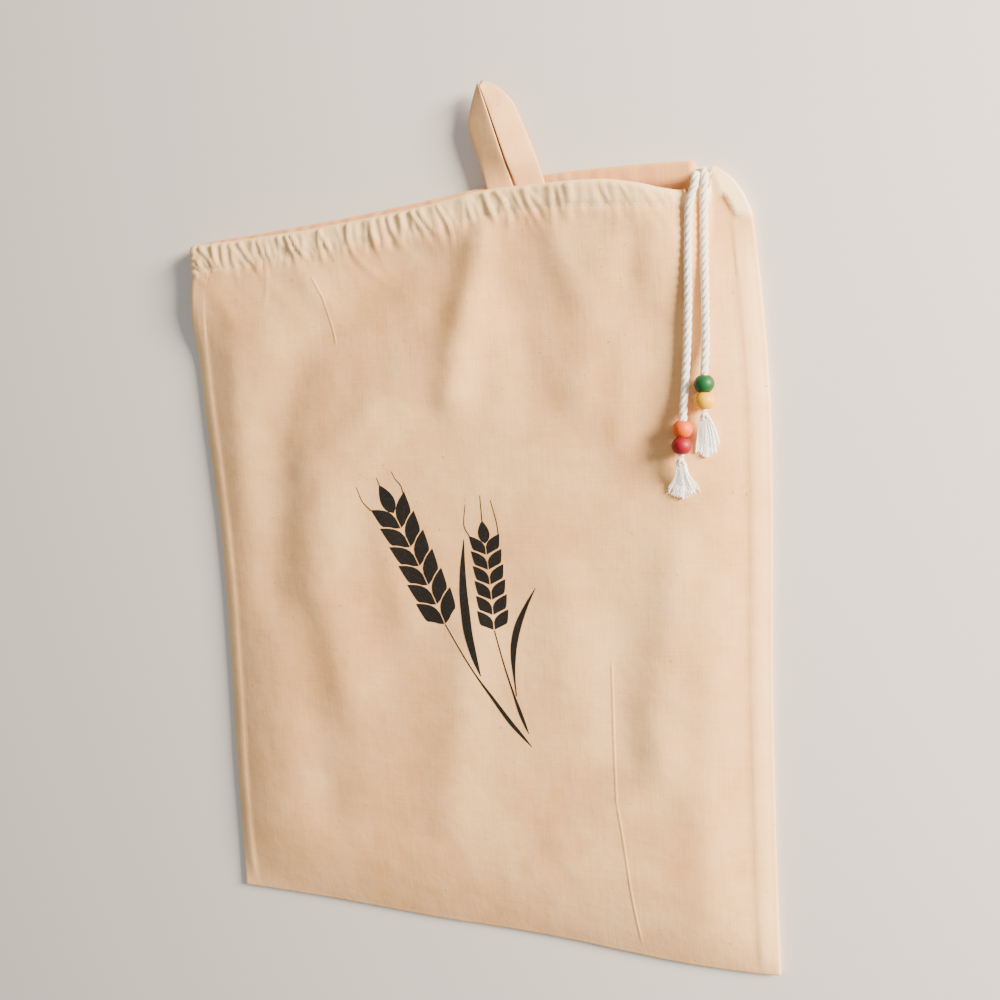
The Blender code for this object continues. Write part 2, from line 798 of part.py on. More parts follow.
def make_tassel(name, neck, along, spread, length, collection, paint):
    """A knot with a fan of frayed strands that grow from every other cell of its lower side."""
    side = along.cross(Vector((0, 0, 1))).normalized()
    up = side.cross(along)
    half = Vector(KNOT_HALF)
    mesh = bmesh.new()
    bmesh.ops.create_cube(mesh, size=2.0)
    bmesh.ops.subdivide_edges(mesh, edges=mesh.edges[:], cuts=CELLS_ACROSS - 1,
                              use_grid_fill=True)
    roots = []
    for face in mesh.faces:
        middle = face.calc_center_median()
        cell = round((middle.x + 1) * CELLS_ACROSS / 2 - 0.5)
        layer = round((middle.z + 1) * CELLS_ACROSS / 2 - 0.5)
        if face.normal.y < -0.9 and (cell + layer) % 2 == 0:
            roots.append(face)
    for vertex in mesh.verts:
        vertex.co = vertex.co.lerp(vertex.co.normalized() * KNOT_ROUND, KNOT_SOFTNESS)
    bmesh.ops.inset_individual(mesh, faces=roots, thickness=STRAND_INSET, use_even_offset=True)
    centres = [face.calc_center_median() for face in roots]
    for number, (face, centre) in enumerate(zip(roots, centres)):
        reach = length * (0.86 + 0.14 * math.sin(number * 2.3))
        sway = STRAND_SWAY * math.sin(number * 1.7)
        tip = face
        for step, width in STRAND_STEPS:
            tip = bmesh.ops.extrude_discrete_faces(mesh, faces=[tip])["faces"][0]
            middle = tip.calc_center_median()
            across = centre.x * mix(half.x, spread, step) + sway * step
            drop = centre.z * half.z * (1 - FLATTENING * step) - TIP_DROP * step * step
            goal = Vector((across / half.x, -1.0 - reach * step / half.y, drop / half.z))
            for vertex in tip.verts:
                offset = (vertex.co - middle) * width
                vertex.co = goal + Vector((offset.x, 0, offset.z))
    for vertex in mesh.verts:
        x, y, z = vertex.co
        vertex.co = neck + side * (x * half.x) - along * (y * half.y) + up * (z * half.z)
    bmesh.ops.recalc_face_normals(mesh, faces=mesh.faces)
    bmesh.ops.triangulate(mesh, faces=mesh.faces)
    object_from(name, mesh, collection, paint)


def make_tails(collection, tails):
    """The free ends with their beads and frayed knots."""
    cotton = material("cotton_tail", COTTON, 0.85)
    for side, table, beads in (("left", LEFT_TAIL, ("bead_orange", "bead_red")),
                               ("right", RIGHT_TAIL, ("bead_green", "bead_yellow"))):
        route = tails[side]
        make_twisted_tail("cord_tail_" + side, route, collection, cotton)
        for name, (x, y, lift) in zip(beads, table[-3:-1]):
            i = min(range(1, len(route) - 1),
                    key=lambda k: math.hypot(route[k].x - x * MM, route[k].y - y * MM))
            make_bead(name, route[i], (route[i - 1] - route[i + 1]).normalized(), collection)
        along = ((route[-1] - route[-2]).normalized() + TASSEL_LEAN).normalized()
        neck = route[-1] + along * (KNOT_HALF[1] + 2 * GAP)
        make_tassel("tassel_" + side, neck, along, *TASSELS[side], collection, cotton)


def make_tape(collection):
    """Tape folded to a point: two legs side by side over the turned layer behind them."""
    corners = {name: Vector((x * MM, y * MM, 0)) for name, (x, y) in TAPE_CORNERS.items()}
    mouth_z = CLOTH + TUNNEL + CLOTH / 2 + GAP + TAPE / 2
    top_z = mouth_z + TAPE_RISE
    mesh = bmesh.new()
    tip = corners["tip"]
    under = {}
    for side, sign in (("left", -1), ("right", 1)):
        shoulder = corners[side + " shoulder"]
        slope = (tip - shoulder).normalized()
        slit_shift = Vector((sign * SLIT / 2, 0, 0))
        crown = tip - slope * CROWN_BACK
        slit_top = tip + (corners["slit mouth"] - tip).normalized() * SLIT_BACK + slit_shift
        levels = {
            "foot": (corners[side + " foot"], corners["slit foot"] + slit_shift, mouth_z),
            "mouth": (corners[side + " mouth"], corners["slit mouth"] + slit_shift, mouth_z),
            "shoulder": (shoulder, corners["slit mouth"].lerp(tip, SLIT_SHARE) + slit_shift, top_z),
        }
        rows = []
        for outer, inner, z in levels.values():
            rows.append([mesh.verts.new(Vector((point.x, point.y, z))) for point in (outer, inner)])
        for upper, lower in zip(rows, rows[1:]):
            mesh.faces.new((upper[0], upper[1], lower[1], lower[0]))
        crown_top = mesh.verts.new(Vector((crown.x, crown.y, top_z)))
        slit_vertex = mesh.verts.new(Vector((slit_top.x, slit_top.y, top_z)))
        mesh.faces.new((rows[-1][0], rows[-1][1], slit_vertex, crown_top))
        outward = Vector((-slope.y, slope.x, 0)) * -sign
        previous = (rows[-1][0], crown_top)
        for k in range(1, ROLL_STEPS + 1):
            turn = math.pi * k / ROLL_STEPS
            shift = (outward * (TAPE_LIFT / 2 * math.sin(turn))
                     + Vector((0, 0, TAPE_LIFT / 2 * (math.cos(turn) - 1))))
            following = [mesh.verts.new(vertex + shift) for vertex in
                         (Vector((shoulder.x, shoulder.y, top_z)), Vector((crown.x, crown.y, top_z)))]
            mesh.faces.new((previous[0], previous[1], following[1], following[0]))
            previous = following
        under[side] = previous
    mesh.faces.new((under["left"][0], under["left"][1], under["right"][1], under["right"][0]))
    bmesh.ops.recalc_face_normals(mesh, faces=mesh.faces)
    tape = object_from("hanging_tape", mesh, collection, material("linen_tape", TAPE_LINEN, 0.9))
    add_solidify(tape, TAPE)


def main():
    for item in list(bpy.data.objects):
        bpy.data.objects.remove(item, do_unlink=True)
    collection = bpy.data.collections.new("linen_bread_bag")
    bpy.context.scene.collection.children.link(collection)
    cloth = make_bag(collection)
    tails = {"left": tail_route(cloth, LEFT_TAIL), "right": tail_route(cloth, RIGHT_TAIL)}
    make_casing_cord(collection, tails)
    make_tails(collection, tails)
    make_tape(collection)
    bpy.context.view_layer.update()


main()
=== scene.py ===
# %% [markdown]
# # A drawstring bread bag
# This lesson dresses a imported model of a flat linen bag: cloth with a gathered hem, a printed
# pair of wheat ears, a twisted cotton cord with wooden beads and frayed ends, and a hanging tape.
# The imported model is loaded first, because every piece below takes the place of one of its solids.

# %% Load the frame
import math
import random

import bmesh
import bpy
from mathutils import Matrix, Vector, noise
from mathutils.bvhtree import BVHTree


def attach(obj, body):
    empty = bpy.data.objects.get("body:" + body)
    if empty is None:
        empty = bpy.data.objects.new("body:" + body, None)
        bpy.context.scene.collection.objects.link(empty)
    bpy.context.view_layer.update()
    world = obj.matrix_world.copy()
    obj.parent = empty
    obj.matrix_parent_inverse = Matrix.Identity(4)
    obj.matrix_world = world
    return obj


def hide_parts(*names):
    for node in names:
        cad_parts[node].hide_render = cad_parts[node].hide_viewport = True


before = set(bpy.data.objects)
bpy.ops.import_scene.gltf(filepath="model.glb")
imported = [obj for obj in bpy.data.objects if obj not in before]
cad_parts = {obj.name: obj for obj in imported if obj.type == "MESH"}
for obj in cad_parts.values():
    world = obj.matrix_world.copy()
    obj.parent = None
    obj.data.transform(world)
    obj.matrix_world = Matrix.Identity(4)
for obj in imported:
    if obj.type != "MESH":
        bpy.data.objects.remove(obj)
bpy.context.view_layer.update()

MM = 0.001
scene = bpy.context.scene

# %% [markdown]
# ## Camera
# The bag was looked at from above and a little from the right, with a fairly wide lens. A camera
# matrix holds that view exactly: its columns are the camera's right, up and back directions.

# %% Camera
camera_data = bpy.data.cameras.new("camera")
camera_data.sensor_width = 36
camera_data.lens = 31.68
camera = bpy.data.objects.new("camera", camera_data)
scene.collection.objects.link(camera)
view = Matrix(((0.92746, -0.06030, -0.36902), (0.02476, 0.99465, -0.10032),
               (0.37309, 0.08391, 0.92399))).transposed().to_4x4()
view.translation = (0.20187, 0.08114, 0.43372)
camera.matrix_world = view
scene.camera = camera
print("camera", [round(v, 3) for v in camera.location])

# %% [markdown]
# ## Helpers for colours and nodes
# Colours are written as the hex values one would pick on a screen, and Blender's shaders want
# linear light, so one function turns one into the other. A second one adds a node together with
# its settings and its links, which keeps the long node trees below readable.


# %% Colour and node helpers
def linear(hex_colour):
    """A screen colour such as #E8DCC8 as linear red, green, blue and alpha."""
    parts = [int(hex_colour[i:i + 2], 16) / 255 for i in (1, 3, 5)]
    return [c / 12.92 if c <= 0.04045 else ((c + 0.055) / 1.055) ** 2.4 for c in parts] + [1.0]


def add_node(tree, kind, inputs=None, **settings):
    """A node with its own settings, and its inputs set to values or linked to other sockets."""
    made = tree.nodes.new(kind)
    for name, value in settings.items():
        setattr(made, name, value)
    for key, value in (inputs or {}).items():
        if isinstance(value, bpy.types.NodeSocket):
            tree.links.new(value, made.inputs[key])
        else:
            made.inputs[key].default_value = value
    return made


def add_math(tree, operation, first, second=0.0):
    """The result of one sum on two numbers or sockets."""
    return add_node(tree, "ShaderNodeMath", {0: first, 1: second}, operation=operation).outputs[0]


print("helpers ready")


# %% [markdown]
# ## Helpers for Geometry Nodes
# Things that repeat, such as cord plies, stitches, fibres and the grains of the print, are made
# with Geometry Nodes trees that are built here in code. Each tree is run once on a small starting
# mesh, and what comes out is kept as a plain mesh, so nothing has to be evaluated again later.


# %% Geometry Nodes helpers
def start_tree(name, sizes):
    """A tree with named inputs: numbers for its sizes, and the material of what it makes."""
    tree = bpy.data.node_groups.new(name, "GeometryNodeTree")
    tree.interface.new_socket("Start", in_out="INPUT", socket_type="NodeSocketGeometry")
    for label in sizes:
        whole = label.startswith("Number")
        tree.interface.new_socket(label, in_out="INPUT",
                                  socket_type="NodeSocketInt" if whole else "NodeSocketFloat")
    tree.interface.new_socket("Finish", in_out="INPUT", socket_type="NodeSocketMaterial")
    tree.interface.new_socket("Result", in_out="OUTPUT", socket_type="NodeSocketGeometry")
    return tree, tree.nodes.new("NodeGroupInput").outputs


def end_tree(tree, sizes, geometry):
    """Smooth shading, real geometry in place of instances, and the material."""
    smooth = add_node(tree, "GeometryNodeSetShadeSmooth", {0: geometry})
    real = add_node(tree, "GeometryNodeRealizeInstances", {0: smooth.outputs[0]})
    painted = add_node(tree, "GeometryNodeSetMaterial", {0: real.outputs[0], "Material": sizes["Finish"]})
    add_node(tree, "NodeGroupOutput", {0: painted.outputs[0]})


def grow(name, start, tree, values):
    """Run a tree on a starting mesh and keep the result as an object with a plain mesh."""
    maker = bpy.data.objects.new(name + "_maker", start)
    scene.collection.objects.link(maker)
    modifier = maker.modifiers.new("Grow", "NODES")
    modifier.node_group = tree
    for socket in tree.interface.items_tree:
        if socket.in_out == "INPUT" and socket.name in values:
            modifier[socket.identifier] = values[socket.name]
    graph = bpy.context.evaluated_depsgraph_get()
    mesh = bpy.data.meshes.new_from_object(maker.evaluated_get(graph))
    bpy.data.objects.remove(maker, do_unlink=True)
    mesh.name = name
    piece = bpy.data.objects.new(name, mesh)
    scene.collection.objects.link(piece)
    print(name, len(mesh.polygons), "faces")
    return piece


def line_mesh(name, lines, **point_values):
    """A mesh of open lines to grow things on, with a value for each point where one is given."""
    mesh = bpy.data.meshes.new(name)
    points = [point for line in lines for point in line]
    edges = []
    start = 0
    for line in lines:
        edges += [(start + i, start + i + 1) for i in range(len(line) - 1)]
        start += len(line)
    mesh.from_pydata(points, edges, [])
    for label, values in point_values.items():
        mesh.attributes.new(label, "FLOAT", "POINT").data.foreach_set("value", values)
    return mesh


# %% [markdown]
# ## Linen
# Unbleached linen is plain woven from slightly uneven yarn: warm beige, matt, with thicker places
# in the yarn (slubs) and tiny brown specks of husk. Where the cloth lies double, in the hem and at
# the seams, it is painted paler for the less light that comes through two layers, with a painted
# highlight at the hem's right corner; the hem's inner layer, seen in the open mouth, gets a painted
# warm shade. The yarn is about 0.5 mm thick, too fine to show at this distance, so its weave is
# drawn at 1.3 mm and kept faint. Streaks stretched along both yarn directions give the eye more of
# linen than the weave itself does. Sharp creases are drawn by bump along short lines.


# %% Linen material
def line_mask(tree, place, start, end, half_width):
    """1 on a line from start to end, falling to 0 at half_width beside it; sizes in metres."""
    run = Vector((end[0] - start[0], end[1] - start[1], 0))
    length = run.length
    ahead = run / length
    side = Vector((-ahead.y, ahead.x, 0))
    from_start = add_node(tree, "ShaderNodeVectorMath",
                          {0: place, 1: (start[0], start[1], 0)}, operation="SUBTRACT").outputs[0]
    along = add_node(tree, "ShaderNodeVectorMath", {0: from_start, 1: ahead},
                     operation="DOT_PRODUCT").outputs["Value"]
    beside = add_node(tree, "ShaderNodeVectorMath", {0: from_start, 1: side},
                      operation="DOT_PRODUCT").outputs["Value"]
    near = add_node(tree, "ShaderNodeMapRange",
                    {"Value": add_math(tree, "ABSOLUTE", beside), "From Max": half_width,
                     "To Min": 1.0, "To Max": 0.0}, interpolation_type="SMOOTHSTEP").outputs[0]
    inside = add_node(tree, "ShaderNodeMapRange",
                      {"Value": add_math(tree, "ABSOLUTE", add_math(tree, "SUBTRACT", along, length / 2)),
                       "From Min": length * 0.42, "From Max": length * 0.52,
                       "To Min": 1.0, "To Max": 0.0}).outputs[0]
    return add_math(tree, "MULTIPLY", near, inside)


CREASES = [
    # x0, y0, x1, y1 in mm, of sharp little ridges in the front panel
    (86.7, -40.0, 85.7, -82.0),
    (85.7, -80.0, 86.2, -114.0),
    (86.2, -112.0, 94.0, -192.0),
    (-71.5, 168.5, -66.0, 156.5),
    (-66.4, 158.0, -60.8, 131.0),
]


def make_linen(name, base, light, double, inside, weave_mm=1.3):
    material = bpy.data.materials.new(name)
    material.use_nodes = True
    tree = material.node_tree
    shader = tree.nodes["Principled BSDF"]
    place = add_node(tree, "ShaderNodeTexCoord").outputs["Object"]

    def spots(scale, detail=3.0, stretch=None):
        vector = place
        if stretch:
            vector = add_node(tree, "ShaderNodeMapping", {"Vector": place, "Scale": stretch}).outputs[0]
        return add_node(tree, "ShaderNodeTexNoise", {"Vector": vector, "Scale": scale, "Detail": detail,
                                                     "Roughness": 0.6}).outputs[0]

    warp = spots(1.0, 2.0, (1 / (0.8 * MM), 1 / (26 * MM), 1 / (26 * MM)))
    weft = spots(1.0, 2.0, (1 / (22 * MM), 1 / (0.8 * MM), 1 / (22 * MM)))
    streaks = add_math(tree, "ADD", warp, weft)
    cloud = spots(1 / (70 * MM), 3.0)
    patch = spots(1 / (14 * MM), 3.0)
    tone = add_math(tree, "ADD", add_math(tree, "MULTIPLY", cloud, 0.9), add_math(tree, "MULTIPLY", patch, 0.35))
    tone = add_math(tree, "ADD", tone, add_math(tree, "MULTIPLY", streaks, 0.20))
    tone = add_node(tree, "ShaderNodeMapRange", {"Value": tone, "From Min": 0.60, "From Max": 1.06}).outputs[0]
    colour = add_node(tree, "ShaderNodeMix", {"Factor": tone, "A": linear(base), "B": linear(light)},
                      data_type="RGBA").outputs["Result"]

    # Painted light: the doubled cloth is painted paler for the less light coming through it, with a painted
    # highlight at the hem's right corner, and the hem's inner layer gets a painted warm shade.
    for attribute, tint in (("double_cloth_and_highlight", double), ("inside_hem_painted_shade", inside)):
        share = add_node(tree, "ShaderNodeAttribute", attribute_name=attribute).outputs["Fac"]
        colour = add_node(tree, "ShaderNodeMix", {"Factor": share, "A": colour, "B": linear(tint)},
                          data_type="RGBA").outputs["Result"]

    husk = add_node(tree, "ShaderNodeMapRange", {"Value": spots(1 / (2.6 * MM), 1.0), "From Min": 0.74,
                                                 "From Max": 0.80, "To Max": 0.55}).outputs[0]
    colour = add_node(tree, "ShaderNodeMix", {"Factor": husk, "A": colour, "B": linear("#8F6C4A")},
                      data_type="RGBA").outputs["Result"]
    tree.links.new(colour, shader.inputs["Base Color"])

    axes = add_node(tree, "ShaderNodeSeparateXYZ", {0: place}).outputs
    turns = 2 * math.pi / (weave_mm * MM)
    over = [add_math(tree, "SINE", add_math(tree, "MULTIPLY", axes[k], turns)) for k in (0, 1)]
    weave = add_math(tree, "MULTIPLY", over[0], over[1])
    height = add_math(tree, "ADD", add_math(tree, "MULTIPLY", weave, 0.014),
                      add_math(tree, "MULTIPLY", streaks, 0.10))
    height = add_math(tree, "ADD", height, add_math(tree, "MULTIPLY", patch, 0.55))
    for x0, y0, x1, y1 in CREASES:
        ridge = line_mask(tree, place, (x0 * MM, y0 * MM), (x1 * MM, y1 * MM), 1.2 * MM)
        height = add_math(tree, "ADD", height, add_math(tree, "MULTIPLY", ridge, 0.26))
    bump = add_node(tree, "ShaderNodeBump", {"Height": height, "Distance": 1.0 * MM, "Strength": 0.8})
    tree.links.new(bump.outputs[0], shader.inputs["Normal"])
    shader.inputs["Roughness"].default_value = 0.92
    shader.inputs["Sheen Weight"].default_value = 0.12
    shader.inputs["Sheen Roughness"].default_value = 0.5
    shader.inputs["Specular IOR Level"].default_value = 0.25
    return material


linen = make_linen("unbleached_linen", "#E2A86A", "#FBCC90", "#FFE5AE", "#DD8C46")
tape_linen = make_linen("linen_tape_cloth", "#EAB27A", "#FBCA90", "#FFE5AE", "#DD8C46", 1.1)
print("linen materials", linen.name, tape_linen.name)

# %% [markdown]
# ## The bag's outline and heights
# The bag is one cloth, folded at its bottom and sewn at its sides. Its outline and the height of
# its front panel are read from short tables, on curves that never overshoot. Long soft folds are
# hills and troughs along lines; the gathers of the hem are many short uneven crests. A cloth
# simulation would place such folds by chance, so they are listed here.

# %% Sizes and tables
CLOTH = 0.6 * MM
SOLID_HALF = 0.5 * MM
EDGE_GAP = 2.6 * MM
BODY_GAP = 11.8 * MM
HIDDEN_CORD_R = 1.3 * MM
TUNNEL = 4.6 * MM
FOLD_R = TUNNEL / 2
CORD_DEPTH = 5.6 * MM
CASING_END = 18.0 * MM
FRONT_HEM_END = 133.4 * MM
BACK_HEM_END = 138.2 * MM

# Side edges as y, x in mm
LEFT_EDGE = [(-199, -161.0), (-162, -160.3), (-123, -160.0), (-85, -158.6), (-47, -157.6),
             (-9, -156.8), (28, -157.2), (65, -158.8), (101, -160.8), (137, -161.8), (165, -160.0),
             (182, -157.6), (198, -156.6)]
RIGHT_EDGE = [(-201, 162.9), (-154, 162.5), (-78, 163.1), (-34, 164.1), (24, 166.0), (81, 167.0),
              (136, 164.8), (155, 163.4), (166, 162.6), (173, 161.6), (178, 159.8), (183, 157.2),
              (188, 154.0), (192, 150.0), (195.5, 145.0)]
# Bottom and mouth edges as x, y in mm
BOTTOM_EDGE = [(-162, -198.0), (-99, -197.4), (-58, -198.0), (-19, -198.5), (18, -197.9),
               (53, -198.4), (86, -200.0), (117, -201.0), (147, -200.3), (164, -199.0)]
FRONT_MOUTH = [(-158, 197.2), (-146, 196.4), (-118, 195.3), (-78, 194.8), (-46, 195.3), (-15, 196.2),
               (8, 197.4), (31, 199.4), (65, 197.4), (94, 194.4), (113, 189.6), (123, 186.2),
               (131, 184.6), (137, 187.4), (140, 189.0), (141.5, 190.6), (143.2, 197.6), (164, 197.6)]
BACK_MOUTH = [(-158, 197.2), (-145, 198.7), (-117, 198.7), (-63, 199.2), (-13, 200.8), (33, 203.2),
              (65, 204.2), (106, 202.0), (134, 199.4), (140.5, 198.6), (146, 197.6), (164, 197.6)]
# How far the front of the mouth stands above the back, as x, gap in mm
MOUTH_GAP = [(-158, 10.6), (-100, 11.2), (0, 12.4), (30, 13.2), (60, 14.8), (85, 17.0), (110, 17.4),
             (124, 15.6), (134, 12.0), (138, 9.6), (141, 6.2), (143.5, 3.2), (164, 2.6)]
# The seam that holds the hem down, as x, y in mm
HEM_SEAM = [(-160, 180.2), (-149, 180.2), (-118, 181.0), (-77, 182.0), (-45, 183.2), (-15, 183.8),
            (8, 185.0), (31, 186.4), (73, 185.1), (95, 182.0), (112, 179.9), (130, 177.2),
            (141, 179.6), (149, 181.6), (151.3, 178.6), (154.5, 172.0), (159, 171.0), (164, 171.0)]
# Strength of the gathers along the mouth, as x, height in mm
GATHERS = [(-160, 1.5), (-140, 1.9), (-60, 1.9), (-20, 1.8), (40, 1.5), (70, 1.25), (100, 0.8),
           (128, 0.4), (138, 0.1), (164, 0.1)]
FOLDS = [
    # Height and width in mm, then the places x, y along it; the big fold under the hem first
    (3.1, 10, [(33, 186), (24, 151), (16, 127), (9, 99)]),
    (-3.3, 17, [(-9, 175), (-80, 130), (-106, 87), (-115, -6)]),
    (3.1, 19, [(21, 131), (-32, 94), (-69, 62), (-82, -6), (-70, -60)]),
    (1.6, 9, [(67, 180), (79, 143)]),
    (1.6, 12, [(92, 155), (86, 130), (79, 95)]),
    (-1.4, 12, [(48, 140), (52, 96)]),
    (1.0, 8, [(101, 119), (97, 71)]),
    (1.5, 11, [(120, 14), (117, -33), (109, -59), (110, -92)]),
    (-1.2, 12, [(92, -20), (88, -80)]),
    (1.2, 14, [(62, 4), (64, -46)]),
    (1.9, 15, [(12, -30), (5, -60), (-10, -130)]),
    (-1.5, 16, [(-91, -24), (-87, -137)]),
    (1.5, 11, [(56, -136), (90, -112), (114, -86)]),
    (1.1, 10, [(138, -8), (134, -82)]),
    (1.0, 10, [(131, -102), (131, -159)]),
    (0.8, 6, [(-89, 63), (-41, 91)]),
    (0.9, 9, [(-130, 130), (-134, 40)]),
    (0.9, 9, [(-40, 30), (-28, -20)]),
    (-0.9, 7, [(110, 172), (106, 150)]),
    (0.8, 7, [(-84, 180), (-62, 150)]),
    (0.7, 6, [(-140, 172), (-128, 150)]),
]


def steady_read(table, at):
    """Read a two-column table at a place, on a smooth curve that never overshoots."""
    at = at / MM
    if at <= table[0][0]:
        return table[0][1] * MM
    if at >= table[-1][0]:
        return table[-1][1] * MM
    slopes = [(b[1] - a[1]) / (b[0] - a[0]) for a, b in zip(table, table[1:])]
    i = 0
    while table[i + 1][0] < at:
        i += 1

    def tangent(k):
        if k == 0 or k == len(slopes):
            return slopes[0] if k == 0 else slopes[-1]
        if slopes[k - 1] * slopes[k] <= 0:
            return 0.0
        return 2 * slopes[k - 1] * slopes[k] / (slopes[k - 1] + slopes[k])

    span = table[i + 1][0] - table[i][0]
    t = (at - table[i][0]) / span
    value = (table[i][1] * (1 + 2 * t) * (1 - t) ** 2 + table[i + 1][1] * t * t * (3 - 2 * t)
             + span * (tangent(i) * t * (1 - t) ** 2 - tangent(i + 1) * t * t * (1 - t)))
    return value * MM


def ease(t):
    """Smooth step from 0 to 1."""
    t = min(max(t, 0.0), 1.0)
    return t * t * (3 - 2 * t)


def mix(a, b, t):
    return a + (b - a) * t


print("bag", RIGHT_EDGE[0][1] - LEFT_EDGE[0][1], "mm wide at the bottom")


# %% [markdown]
# ## Gathers
# The drawn cord bunches the hem into crests 5 to 9 mm apart. Each one leans its own way, is
# highest in the hem, dips where the seam holds it, and dies out below. A seeded list keeps them
# uneven but the same each time.

# %% Gathers
pleat_random = random.Random(11)
crests = []
x = -157.0
while x < 136:
    pitch = pleat_random.uniform(3.2, 6.6)
    lean = pleat_random.uniform(-0.75, 0.10)
    if x < -140:
        lean = -1.0
    crests.append({"x": x * MM, "width": pitch * 0.30 * MM, "height": pleat_random.uniform(0.25, 0.95),
                   "lean": lean, "reach": pleat_random.uniform(3, 9) * MM,
                   "curl": pleat_random.uniform(-25, 25)})
    if pleat_random.random() < 0.16:
        crests[-1]["reach"] = pleat_random.uniform(14, 26) * MM
    x += pitch
print(len(crests), "gathers")


def gather_relief(x, y, below_seam):
    """Height of the gathers at a place, where below_seam is the distance under the hem's seam."""
    strength = steady_read(GATHERS, x)
    if strength < 0.12 * MM or below_seam > 42 * MM:
        return 0.0
    total = 0.0
    for crest in crests:
        down = 0.186 - y
        away = (x - crest["x"] + crest["lean"] * down + crest["curl"] * down * down) / crest["width"]
        if abs(away) > 3:
            continue
        fade = 1.0
        if below_seam > 0:
            fade = 0.62 * math.exp(-(below_seam / crest["reach"]) ** 2)
        elif below_seam > -4 * MM:
            fade = mix(1.0, 0.62, 1 + below_seam / (4 * MM))
        total = max(total, crest["height"] * fade * math.exp(-away * away))
    return total * strength


# %% [markdown]
# ## The cloth's surface
# The surface is a flattened tube: rings round the hem, then a front and a back panel joined by a
# small half circle along the sides and the bottom. It is made as one open sheet in the middle of
# the cloth, and a Solidify modifier gives it its thickness.


# %% Heights of the front panel
def left_gap(y):
    return mix(EDGE_GAP, MOUTH_GAP[0][1] * MM, ease((y - 0.122) / 0.062))


def right_gap(y):
    return mix(EDGE_GAP, 3.2 * MM, ease((y - 0.150) / 0.040))


def fold_relief(x, y):
    """Sum of the soft folds at a place on the front panel."""
    total = 0.0
    for height, width, corners in FOLDS:
        nearest = 4.0
        for (x0, y0), (x1, y1) in zip(corners, corners[1:]):
            ax, ay, bx, by = x0 * MM, y0 * MM, x1 * MM, y1 * MM
            t = ((x - ax) * (bx - ax) + (y - ay) * (by - ay)) / ((bx - ax) ** 2 + (by - ay) ** 2)
            t = min(max(t, 0.0), 1.0)
            away = math.hypot(x - mix(ax, bx, t), y - mix(ay, by, t)) / (width * MM)
            nearest = min(nearest, away)
        total += height * MM * math.exp(-nearest * nearest)
    return total


def unrest(x, y):
    """Small waves that no cloth is without."""
    slow = noise.noise(Vector((x / 0.048, y / 0.060, 1.7)))
    quick = noise.noise(Vector((x / 0.015 + 0.3 * y / 0.015, y / 0.026, 5.1)))
    return slow * 0.42 * MM + quick * 0.16 * MM


def front_gap(x, y, depth, fine=True):
    """Height of the front panel over the back one, where depth is the distance to the mouth."""
    left = steady_read(LEFT_EDGE, y) + left_gap(y) / 2 + SOLID_HALF
    right = steady_read(RIGHT_EDGE, y) - right_gap(y) / 2 - SOLID_HALF
    bottom = steady_read(BOTTOM_EDGE, x) + EDGE_GAP / 2 + SOLID_HALF
    across = min(max((x - left) / (right - left), 0.0), 1.0)
    edge = mix(left_gap(y), right_gap(y), across)
    rise = 1.0
    for distance, reach in ((x - left, 0.052), (right - x, 0.044), (y - bottom, 0.048)):
        inside = min(max(distance / reach, 0.0), 1.0)
        rise *= 1 - (1 - inside) ** 2
    relief = fold_relief(x, y) + (unrest(x, y) if fine else 0.0)
    body = edge + (BODY_GAP - edge) * rise
    seam = 0.7 * MM * (1 - ease((min(x - left, right - x) - 7.6 * MM) / (1.6 * MM)))
    body += seam * min(1.0, rise * 8)
    roll = steady_read(MOUTH_GAP, x)
    if fine:
        seam_depth = steady_read(FRONT_MOUTH, x) - steady_read(HEM_SEAM, x)
        groove = (depth - min(seam_depth, 15 * MM)) / (1.6 * MM)
        kept = 1 - ease((x - 0.124) / (10 * MM))
        roll -= 0.6 * MM * math.exp(-groove * groove) * kept
    gap = mix(roll, body, ease((depth - 14 * MM) / (50 * MM)))
    gap += relief * rise * ease((depth - 11 * MM) / (16 * MM))
    if fine and x > 0.143:
        over_seam = (y - steady_read(HEM_SEAM, x)) / (2.4 * MM)
        gap += 1.3 * MM * ease(over_seam + 0.5) * ease((x - 0.143) / (5 * MM)) * min(1.0, rise * 4)
    return gap


print("height of the cloth in the middle", round((SOLID_HALF + front_gap(0, 0, 0.2)) / MM, 1), "mm")

# %% Places on the cloth
EDGE_STEPS = [0.0, 1.4, 3.0, 5.0, 7.2, 8.4, 9.6, 12.0]
MIDDLE_COLUMNS = 108
COARSE_LAST = MIDDLE_COLUMNS + 2 * (len(EDGE_STEPS) - 1)
FINE_LAST = 2 * COARSE_LAST
BACK_COLUMNS = COARSE_LAST
RIM_STEPS = 6
RING_DEPTHS = [FOLD_R] + [d * MM for d in (3.6, 5, 6.4, 7.8, 9.2, 10.4, 11.6, 12.8, 14, 15.2, 16.6)]
RING_DEPTHS.append(CASING_END)
BODY_ROWS = 116
FINE_ROWS = 16


def column_x(column, low, high):
    """Place of a coarse column, whole or half, between the side edges: closer at the seams."""
    steps = [step * MM for step in EDGE_STEPS]

    def whole(k):
        if k < len(steps):
            return low + steps[k]
        if k > COARSE_LAST - len(steps):
            return high - steps[COARSE_LAST - k]
        return mix(low + steps[-1], high - steps[-1], (k - len(steps) + 1) / MIDDLE_COLUMNS)

    floor = int(math.floor(column))
    return mix(whole(floor), whole(min(floor + 1, COARSE_LAST)), column - floor)


def casing_side(depth, side):
    """Side boundary of the sheets in the hem, at a depth below the mouth."""
    if side < 0:
        y = FRONT_MOUTH[0][1] * MM - depth
        return steady_read(LEFT_EDGE, y) + SOLID_HALF + front_gap(-1.0, y, depth, False) / 2
    y = FRONT_MOUTH[-1][1] * MM - depth
    return steady_read(RIGHT_EDGE, y) - SOLID_HALF - front_gap(1.0, y, depth, False) / 2


